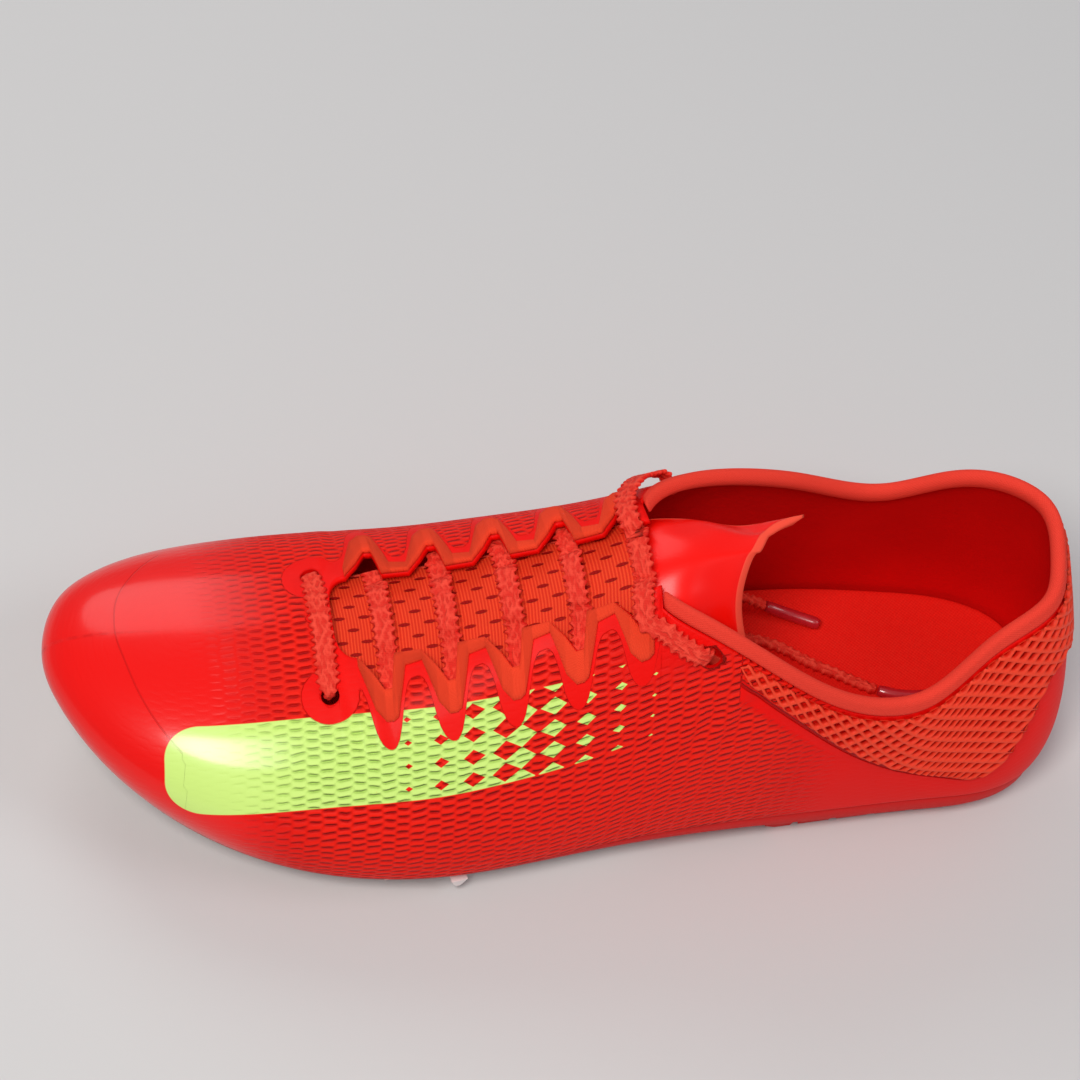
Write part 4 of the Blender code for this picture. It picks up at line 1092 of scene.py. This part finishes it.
def makeTongue():
    look = tongueLook
    table = np.array(look["rows"])
    shape = spline(table[:, 0], table[:, 1:])
    ends = np.array(look["end"])
    endPlace = spline(ends[:, 0], ends[:, 1])

    def measure(count, size):
        stations = np.linspace(0, 1, count)[:, None]  # from the free end to the toe
        spread = np.linspace(-1, 1, size)[None, :]
        end = endPlace(spread)
        place = end + (table[-1, 0] - end) * stations
        lateral, medial, drop = np.moveaxis(shape(place), -1, 0)
        half = np.where(spread > 0, lateral, medial)
        return place, end, spread, half, drop

    place, end, spread, half, drop = measure(14, 9)
    lower = -(last["wall"] + look["clearance"]) - drop
    count, size = 190, 81
    top = refined(across(place, half * spread, lower), count, size)
    under = refined(across(place, half * spread, lower - look["thickness"]), count, size)
    place, end, spread, half, drop = measure(count, size)
    # The free edge thins, and soft folds run up from the lace
    border = np.minimum((place - end) * 1000, (1 - np.abs(spread)) * half * 1000)
    waves = look["folds"] * np.sin(place * 2 * np.pi / 0.017 + spread * 2.0) * ease(np.abs(spread), 0.1, 0.6)
    waves *= (1 - ease(place, 0.112, 0.125)) * ease(border, 0.0, 4.0)
    middle, through = (top + under) / 2, top - under
    thick = np.linalg.norm(through, axis=-1, keepdims=True)
    middle = middle + through / thick * waves[..., None]
    slim = (0.35 + 0.65 * ease(border, 0.0, 1.6))[..., None] / 2
    measures = {"wrap": np.stack([place * 1000 + 0 * spread, half * spread * 1000, border], -1)}
    made = makeShell(
        "tongueSheet",
        middle + through * slim,
        middle - through * slim,
        [tongueFinish(look)],
        measures=measures,
    )
    return dress(made, "tongue_mesh", "tongue")


makeTongue()
print("tongue made")


# Lace: a flat cord with two lobes and bubbles along its edges
laceLook = {
    # The lighter colour is partly a painted highlight on the cord's top face and stitch tops.
    "color": (0.70, 0.007, 0.004),
    "light": (1.0, 0.080, 0.046),
    "width": 0.0058,
    "thickness": 0.0015,
    "bubble": 0.0022,
    "step": 0.00034,
    "eyeletWidths": (0.0042, 0.0036),
}
notchRun = ((0.1266, 0.0080, 0.10), (0.1266, 0.0104, 0.90), (0.1264, 0.0140, 1.00), (0.1258, 0.0170, 1.00))
seatRun = (
    (0.1228, 0.0044, 1.00), (0.1196, 0.0047, 0.92), (0.1163, 0.0049, 0.82),
    (0.1138, 0.0050, 0.74), (0.1119, 0.0050, 0.24), (0.1112, 0.0050, -0.90),
)
medialTurn = ((0.1267, 0.0071, 0.0001), (0.1267, 0.0072, 0.0012), (0.1266, 0.0083, 0.0024))
frontEnd = ((0.0000, -0.0012, 0.0030), (0.0003, 0.0004, 0.0032), (0.0014, 0.0013, 0.0044))
underUpper = -(last["wall"] + last["gap"] + laceLook["thickness"] / 2 + 0.0004)
overUpper = last["overlayGap"] + stripLook["thickness"] + last["gap"] + laceLook["thickness"] / 2 + 0.0008


def laceFinish(look):
    cord = Finish("laceKnit", Specular_IOR_Level=0.15)
    run, turn, height = cord.measure("wrap")
    stitch = (run * (2 * math.pi / 0.55) + turn * 2.0).cos() * 0.5 + 0.5
    grain = cord.noise(cord.place(run, turn), 2.0, 3.0)
    lump = cord.noise(cord.place(run * 0.5, turn * 0.8), 1.0, 1.0).over(0.34, 0.64)
    # Lighter towards the cord's top face and on the stitch tops: painted highlight.
    color = cord.mix(lump * 0.55 + height * height * 0.45 + stitch * 0.08, look["color"], look["light"])
    relief = lump * 1.4 + stitch * 0.2 + grain * 0.2
    return cord.give(
        Base_Color=color, Roughness=0.66 + grain * 0.15, Normal=cord.bump(relief, 0.00026, 0.8)
    )


laceSkin = laceFinish(laceLook)


def lacePoints(places, distances, offsets):
    half = throatHalfWidth(np.minimum(places, throat["front"] - throat["round"]))
    inner = np.clip(distances, -half, half)
    return across(places, inner, offsets, np.maximum(np.abs(distances) - np.abs(inner), 0))


def bubbled(points, normals, widths, thickness, phase=0.0, sides=18):
    points, normals = np.asarray(points, float), np.asarray(normals, float)
    widths, thickness = (np.broadcast_to(value, len(points)) for value in (widths, thickness))
    run = arcAlong(points)
    count = int(run[-1] / laceLook["step"])
    fine = np.linspace(0, run[-1], count)
    line = spline(run, points)(fine)
    ahead = unit(np.gradient(line, axis=0))
    normal = np.stack([np.interp(fine, run, normals[:, k]) for k in range(3)], -1)
    normal = unit(normal - ahead * (normal * ahead).sum(-1, keepdims=True))
    beside = np.cross(ahead, normal)
    wide, thick = np.interp(fine, run, widths), np.interp(fine, run, thickness)
    angles = np.linspace(0, 2 * np.pi, sides, endpoint=False)
    c, s = np.cos(angles), np.sin(angles)
    reach = np.abs(c) ** 0.75 * np.sign(c)
    lift = np.abs(s) ** 0.8 * np.sign(s)
    groove = 1 - 0.55 * np.exp(-((reach / 0.20) ** 2))
    cycle = 2 * np.pi * fine / laceLook["bubble"] + phase
    irregular = 0.35 * np.sin(fine * 900 + phase) + 0.25 * np.sin(fine * 2100 + 2 * phase)
    left = np.maximum(np.sin(cycle + irregular), -0.4)
    right = np.maximum(np.sin(cycle + 2.1 - irregular), -0.4)
    edge = np.where(reach[None, :] > 0, right[:, None], left[:, None])
    outer = np.abs(reach)[None, :] ** 2
    span = 0.86 + 0.24 * edge * outer
    swell = 0.86 + 0.34 * edge * outer
    sway = 0.12 * np.sin(fine * 400 + phase) * thick * 0.5
    sideways = reach * span * wide[:, None] / 2
    upward = lift * groove * swell
    raised = upward * thick[:, None] / 2 + sway[:, None]
    ring = line[:, None] + beside[:, None] * sideways[..., None] + normal[:, None] * raised[..., None]
    level = reach * wide[:, None] * 500
    # The third number, the height on the cord's top face, sets the painted highlight in its finish.
    measures = np.stack([fine[:, None] * 1000 + 0 * level, level, np.clip(upward, 0, 1)], -1)
    return line, ring, measures


def makeTube(name, ring, measures, finish):
    count, size = ring.shape[:2]
    start = np.arange(count - 1) * size
    seam = np.stack([start + size - 1, start, start + size, start + 2 * size - 1], -1)
    faces = [*gridFaces(count, size), *seam]
    faces.append(tuple(range(size)))
    faces.append(tuple((count - 1) * size + np.arange(size)[::-1]))
    return makeObject(name, ring.reshape(-1, 3), faces, [finish], measures={"wrap": measures.reshape(-1, 3)})


def makeLace(name, stretches, widths, node, phase):
    points, raised = [], []
    for laid, places, measures, offsets in stretches:
        places, measures, offsets = (np.asarray(value, float) for value in (places, measures, offsets))
        points.append(laid(places, measures, offsets))
        raised.append(laid(places, measures, offsets + 0.002))
    points = np.concatenate(points)
    normals = np.concatenate(raised) - points
    _, ring, measures = bubbled(points, normals, widths, laceLook["thickness"], phase)
    return dress(makeTube(name, ring, measures, laceSkin), "lace_knit", node)


def barOffset(distance, half):
    share = ease(half - 0.0012 - np.abs(distance), 0, 0.0035)
    return underUpper + share * (-0.0002 - underUpper)


# The lace's last run: over the strip, then beside the collar into its eyelet
def topRun(side):
    def besideCollar(places, distances, offsets):
        return belowEdge(places, side, distances, offsets)

    notch, seat = np.array(notchRun).T, np.array(seatRun).T
    return [
        (lacePoints, notch[0], side * notch[1], notch[2] * overUpper),
        (besideCollar, seat[0], seat[1], seat[2] * overUpper),
    ]


def makeLaces():
    wide = laceLook["width"]
    topWidths = [wide] * (len(notchRun) + len(seatRun) - 2) + list(laceLook["eyeletWidths"])
    tips = throat["frontNotch"] - throat["pitch"] * np.arange(throat["count"])
    radius = throat["pitch"] / 2
    turnStart = throat["frontHalf"] + 0.0040
    places, distances, offsets = [], [], []
    for index, tip in enumerate(tips):
        way = 1 if index % 2 == 0 else -1
        half = throatHalfWidth(np.minimum(tip, throat["front"] - throat["round"]))
        bar = np.linspace(-way * turnStart, way * turnStart, 14)
        if index == throat["count"] - 1:
            bar = bar[np.abs(bar - bar[0]) < turnStart + half - 0.003]
        places += [tip] * len(bar)
        distances += list(bar)
        offsets += list(barOffset(bar, half))
        if index < throat["count"] - 1:
            angles = np.linspace(0, np.pi, 8)[1:-1]
            places += list(tip - radius + radius * np.cos(angles))
            distances += list(way * (turnStart + radius * np.sin(angles)))
            offsets += [underUpper] * len(angles)
    stretches = [(lacePoints, places, distances, offsets)] + topRun(1)
    makeLace("laceBars", stretches, [wide] * len(places) + topWidths, "lace", 0.0)

    turn = np.array(medialTurn)
    medial = topRun(-1)
    medial[0] = (medial[0][0], *(part[1:] for part in medial[0][1:]))
    stretches = [(lacePoints, turn[:, 0], -turn[:, 1], turn[:, 2])] + medial
    makeLace("laceMedialRun", stretches, [wide] * len(turn) + topWidths[1:], "lace_medial", 1.0)

    end = np.array(frontEnd)
    lateralHole, medialHole = (side * down for _, side, down, _ in eyeletRows[:2])
    middle = np.linspace(medialHole + 0.0035, lateralHole - 0.0035, 11)
    distances = np.concatenate([medialHole + end[:, 0], middle, (lateralHole - end[:, 0])[::-1]])
    lift = last["gap"] + laceLook["thickness"] / 2 + 0.0004
    offsets = np.concatenate([end[:, 1], 0 * middle + lift, end[::-1, 1]])
    widths = np.concatenate([end[:, 2], 0 * middle + wide, end[::-1, 2]])
    places = np.linspace(eyeletRows[1][0], eyeletRows[0][0], len(distances))
    makeLace("laceFrontBar", [(lacePoints, places, distances, offsets)], widths, "lace_front", 2.0)


makeLaces()
print("laces made")


# Free ends: from under the tongue over the insole, each with its tip
endLook = {
    "diameter": 0.0030,
    "tipDiameter": 0.0036,
    "tipLength": 0.016,
    "insole": 0.003,
    "tip": (0.42, 0.006, 0.012),
    "tipLight": (0.62, 0.02, 0.03),
    "ends": {
        "lateral": (
            (0.0980, -0.0080, 0.0040), (0.0870, -0.0150, 0.0024), (0.0760, -0.0130, 0.0022),
            (0.0660, -0.0065, 0.0022), (0.0550, 0.0000, 0.0022), (0.0440, 0.0050, 0.0022),
            (0.0340, 0.0055, 0.0022),
        ),
        "medial": (
            (0.1000, -0.0190, 0.0190), (0.0890, -0.0235, 0.0120), (0.0790, -0.0245, 0.0055),
            (0.0700, -0.0225, 0.0025), (0.0610, -0.0185, 0.0024),
        ),
    },
}


def tipFinish(look):
    sleeve = Finish("laceTip", Coat_Roughness=0.12, Specular_IOR_Level=0.6)
    grain = sleeve.noise(sleeve.objectPlace(), 500.0, 3.0)
    return sleeve.give(
        Base_Color=sleeve.mix(grain, look["tip"], look["tipLight"]),
        Roughness=0.22 + grain * 0.12,
        Coat_Weight=0.5,
        Normal=sleeve.bump(grain, 0.0001, 0.4),
    )


def smoothPath(knots, count):
    knots = np.array(knots, float)
    steps = arcAlong(knots)
    fine = spline(steps, knots)(np.linspace(0, steps[-1], 400))
    run = arcAlong(fine)
    at = np.linspace(0, run[-1], count)
    return np.stack([np.interp(at, run, fine[:, k]) for k in range(3)], -1)


def makeEnds():
    look = endLook
    tipSkin = tipFinish(look)
    for side, rows in look["ends"].items():
        knots = np.array(rows)
        knots[:, 2] += featherHeight(knots[:, 0]) + look["insole"]
        path = smoothPath(knots, 400)
        run = arcAlong(path)
        split = np.searchsorted(run, run[-1] - look["tipLength"])
        up = np.tile((0.0, 0.0, 1.0), (40, 1))
        cordPath = path[np.linspace(0, split - 2, 40).astype(int)]
        line, ring, measures = bubbled(cordPath, up, look["diameter"], look["diameter"] * 0.8, 3.0)
        cord = makeTube(f"laceEnd{side.title()}", ring, measures, laceSkin)
        dress(cord, "lace_knit", f"lace_end_{side}")
        tipPath = path[np.linspace(split + 2, 399, 24).astype(int)]
        shares = np.linspace(0, 1, 24)
        slim = 0.82 + 0.18 * ease(shares, 0.0, 0.12) - 0.30 * ease(shares, 0.93, 1.0)
        ahead = unit(np.gradient(tipPath, axis=0))
        beside = unit(np.cross(ahead, (0.0, 0.0, 1.0)))
        normal = np.cross(beside, ahead)
        angles = np.linspace(0, 2 * np.pi, 20, endpoint=False)[:, None]
        circle = beside[:, None] * np.cos(angles) + normal[:, None] * np.sin(angles)
        tipRing = tipPath[:, None] + circle * (look["tipDiameter"] / 2 * 0.92 * slim)[:, None, None]
        tip = makeTube(f"laceTip{side.title()}", tipRing, np.zeros_like(tipRing), tipSkin)
        dress(tip, "lace_tip", f"lace_tip_{side}")
        length = float(arcAlong(line)[-1])
        print("lace end", side, round(length * 1000, 1), "mm")
        route = line[::6] if (len(line) - 1) % 6 == 0 else np.concatenate([line[::6], line[-1:]])
        if length >= 0.03:
            tuple(line[0] + shift)
            [tuple(point + shift) for point in route]


makeEnds()
print("lace ends made")


# Insole and foam: slabs across the outline with rounded rims
soleLook = {
    "insole": (0.88, 0.008, 0.004),
    "insoleLight": (1.0, 0.030, 0.016),
    "insoleThickness": 0.003,
    "foam": (0.74, 0.010, 0.008),
    "foamDeep": (0.60, 0.004, 0.004),
}


# A slab from rails at insets from the outline: the first half of the levels are its top
def slab(name, phases, levels, finish, steps=40, dish=0.0):
    sides = []
    for side in (-1, 1):
        foot = outline(side * phases)
        ahead = outline(side * (phases + 1e-4)) - outline(side * (phases - 1e-4))
        sides.append((foot, unit(np.stack([ahead[:, 1], -ahead[:, 0]], -1)) * -side))
    rails = []
    for inset, height in levels:
        pair = []
        for foot, outward in sides:
            place = foot - outward * np.broadcast_to(inset, phases.shape)[:, None]
            pair.append(np.concatenate([place, np.broadcast_to(height, phases.shape)[:, None]], -1))
        rails.append(pair)
    half = len(levels) // 2
    spread = np.linspace(0, 1, steps)[:, None, None]
    top = rails[half - 1][0] * (1 - spread) + rails[half - 1][1] * spread
    top[..., 2] -= dish * (1 - (2 * spread[..., 0] - 1) ** 4)
    bottom = rails[half][0] * (1 - spread) + rails[half][1] * spread
    above, below = rails[: half - 1], rails[half + 1 :][::-1]
    upper = [rail[0] for rail in above] + list(top) + [rail[1] for rail in above[::-1]]
    lower = [rail[0] for rail in below] + list(bottom) + [rail[1] for rail in below[::-1]]
    return makeShell(name, np.stack(upper, 1), np.stack(lower, 1), [finish], sharp=50)


def insoleFinish(look):
    cloth = Finish("insoleCloth", Specular_IOR_Level=0.15)
    spot = cloth.objectPlace()
    x, y, _ = (cloth.node("ShaderNodeSeparateXYZ", None, {0: spot}, axis) for axis in range(3))
    weave = (x * (2 * math.pi / 0.0011)).cos() * (y * (2 * math.pi / 0.0011)).cos()
    grain = cloth.noise(spot, 700.0, 3.0)
    # The weave term lightens the raised crossings: painted highlight; the grain term is random tone.
    color = cloth.mix(weave * 0.25 + grain * 0.5, look["insole"], look["insoleLight"])
    relief = weave * 0.4 + grain * 0.6
    return cloth.give(
        Base_Color=color, Roughness=0.75 + grain * 0.1, Normal=cloth.bump(relief, 0.00015, 0.7)
    )


def foamFinish(look):
    foam = Finish("foamSkin", Specular_IOR_Level=0.2)
    spot = foam.objectPlace()
    grain = foam.noise(spot, 1400.0, 3.0)
    broad = foam.noise(spot, 30.0, 2.0)
    color = foam.mix(broad * 0.4, look["foam"], look["foamDeep"])
    return foam.give(
        Base_Color=color, Roughness=0.55 + grain * 0.15, Normal=foam.bump(grain, 0.0001, 0.5)
    )


def makeSole():
    look = soleLook
    stretches = ((0, 0.06, 12), (0.06, 0.94, 110), (0.94, 1, 14))
    phases = np.unique(np.concatenate([np.linspace(*stretch) for stretch in stretches]))
    x = outline(phases)[..., 0]
    feather = featherHeight(x)
    inside = last["wall"] + 3 * last["gap"]
    thick = look["insoleThickness"]
    insole = slab(
        "insoleSheet",
        phases,
        (
            (inside, feather + thick * 0.75),
            (inside + 0.0003, feather + thick * 0.93),
            (inside + 0.0009, feather + thick),
            (inside + 0.0003, feather),
            (inside, feather + thick * 0.15),
            (inside, feather + thick * 0.5),
        ),
        insoleFinish(look),
        dish=0.0003,
    )
    dress(insole, "insole_foam", "insole")
    low, top = foamBottom(x), feather - last["gap"]
    tuck = last["sideTuck"]
    deep = top - low
    foam = slab(
        "foamSlab",
        phases,
        (
            (0.0006, top - deep * 0.18),
            (0.0009, top - 0.0004),
            (0.0016, top),
            (tuck, low),
            (tuck * 0.82, low + deep * 0.08),
            (tuck * 0.30, low + deep * 0.42),
        ),
        foamFinish(look),
        steps=16,
    )
    dress(foam, "midsole_foam", "midsole")


makeSole()
print("insole and foam made")


# Plate, pins and heel pad keep their CAD forms, with softened edges
hardLook = {
    "plate": (0.86, 0.78, 0.76),
    "plateDeep": (0.80, 0.66, 0.64),
    "pad": (0.70, 0.010, 0.008),
    "padDeep": (0.55, 0.005, 0.005),
    "steel": (0.62, 0.62, 0.64),
    "steelDeep": (0.45, 0.44, 0.44),
}


def plateFinish(look):
    skin = Finish("plateMoulding", Specular_IOR_Level=0.5, Coat_Roughness=0.2)
    spot = skin.objectPlace()
    grain = skin.noise(spot, 600.0, 4.0)
    flow = skin.noise(spot, 45.0, 2.0)
    return skin.give(
        Base_Color=skin.mix(flow * 0.35, look["plate"], look["plateDeep"]),
        Roughness=0.34 + grain * 0.16,
        Coat_Weight=0.25,
        Normal=skin.bump(grain, 0.00006, 0.5),
    )


def steelFinish(look):
    steel = Finish("pinSteel", Metallic=1.0, Anisotropic=0.3)
    spot = steel.objectPlace()
    z = steel.node("ShaderNodeSeparateXYZ", None, {0: spot}, 2)
    turning = (z * (2 * math.pi / 0.00035)).cos()
    grain = steel.noise(spot, 900.0, 3.0)
    return steel.give(
        Base_Color=steel.mix(grain * 0.4, look["steel"], look["steelDeep"]),
        Roughness=0.24 + grain * 0.2,
        Normal=steel.bump(turning * 0.5 + grain * 0.3, 0.00003, 0.6),
    )


def padFinish(look):
    rubber = Finish("heelRubber", Specular_IOR_Level=0.4)
    spot = rubber.objectPlace()
    grain = rubber.noise(spot, 1100.0, 4.0)
    broad = rubber.noise(spot, 60.0, 2.0)
    return rubber.give(
        Base_Color=rubber.mix(broad * 0.5, look["pad"], look["padDeep"]),
        Roughness=0.6 + grain * 0.2,
        Normal=rubber.bump(grain, 0.00012, 0.6),
    )


def keepNode(name, finish, width):
    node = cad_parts[name]
    node.data.materials.clear()
    node.data.materials.append(finish)
    bevel = node.modifiers.new("softEdge", "BEVEL")
    bevel.width, bevel.segments, bevel.limit_method = width, 2, "ANGLE"
    bevel.angle_limit = math.radians(40)


def makeHardParts():
    keepNode("spike_plate", plateFinish(hardLook), 0.00022)
    keepNode("heel_outsole", padFinish(hardLook), 0.0003)
    steel = steelFinish(hardLook)
    for index in range(1, 8):
        keepNode(f"spike_{index}", steel, 0.00012)


makeHardParts()
print("plate, pins and pad dressed")


# Studio: pale floor and soft light
studioLook = {
    "floor": (0.66, 0.65, 0.64),
    "floorGrain": (0.62, 0.61, 0.60),
    "sky": (0.90, 0.93, 1.0),
    "skyStrength": 0.30,
    # place, size, power, colour
    "lamps": (
        ((0.45, 0.55, 1.15), 0.40, 10.0, (1.0, 0.97, 0.94)),
        ((-0.80, 0.30, 0.90), 0.60, 2.6, (0.95, 0.97, 1.0)),
        ((0.30, -0.90, 0.80), 0.70, 3.0, (1.0, 1.0, 1.0)),
    ),
}


def makeStudio(look):
    floorSkin = Finish("paleFloor", Roughness=0.7)
    spot = floorSkin.objectPlace()
    grain = floorSkin.noise(spot, 260.0, 3.0)
    floorSkin.give(Base_Color=floorSkin.mix(grain * 0.12, look["floor"], look["floorGrain"]))
    bpy.ops.mesh.primitive_plane_add(size=8.0, location=(0, 0, -0.0002))
    floor = bpy.context.object
    floor.name = "studioFloor"
    floor.data.materials.append(floorSkin.material)
    world = bpy.data.worlds.new("studioSky")
    scene.world = world
    world.use_nodes = True
    sky = world.node_tree.nodes["Background"]
    sky.inputs["Color"].default_value = (*look["sky"], 1.0)
    sky.inputs["Strength"].default_value = look["skyStrength"]
    for index, (place, size, power, color) in enumerate(look["lamps"]):
        data = bpy.data.lights.new(f"softLamp{index}", "AREA")
        data.shape, data.size, data.energy, data.color = "DISK", size, power, color
        lamp = bpy.data.objects.new(data.name, data)
        scene.collection.objects.link(lamp)
        lamp.location = place
        aim = Vector((0, 0, 0.03)) - Vector(place)
        lamp.rotation_euler = aim.to_track_quat("-Z", "Y").to_euler()
    scene.view_settings.view_transform = "Standard"


makeStudio(studioLook)
print("studio set")
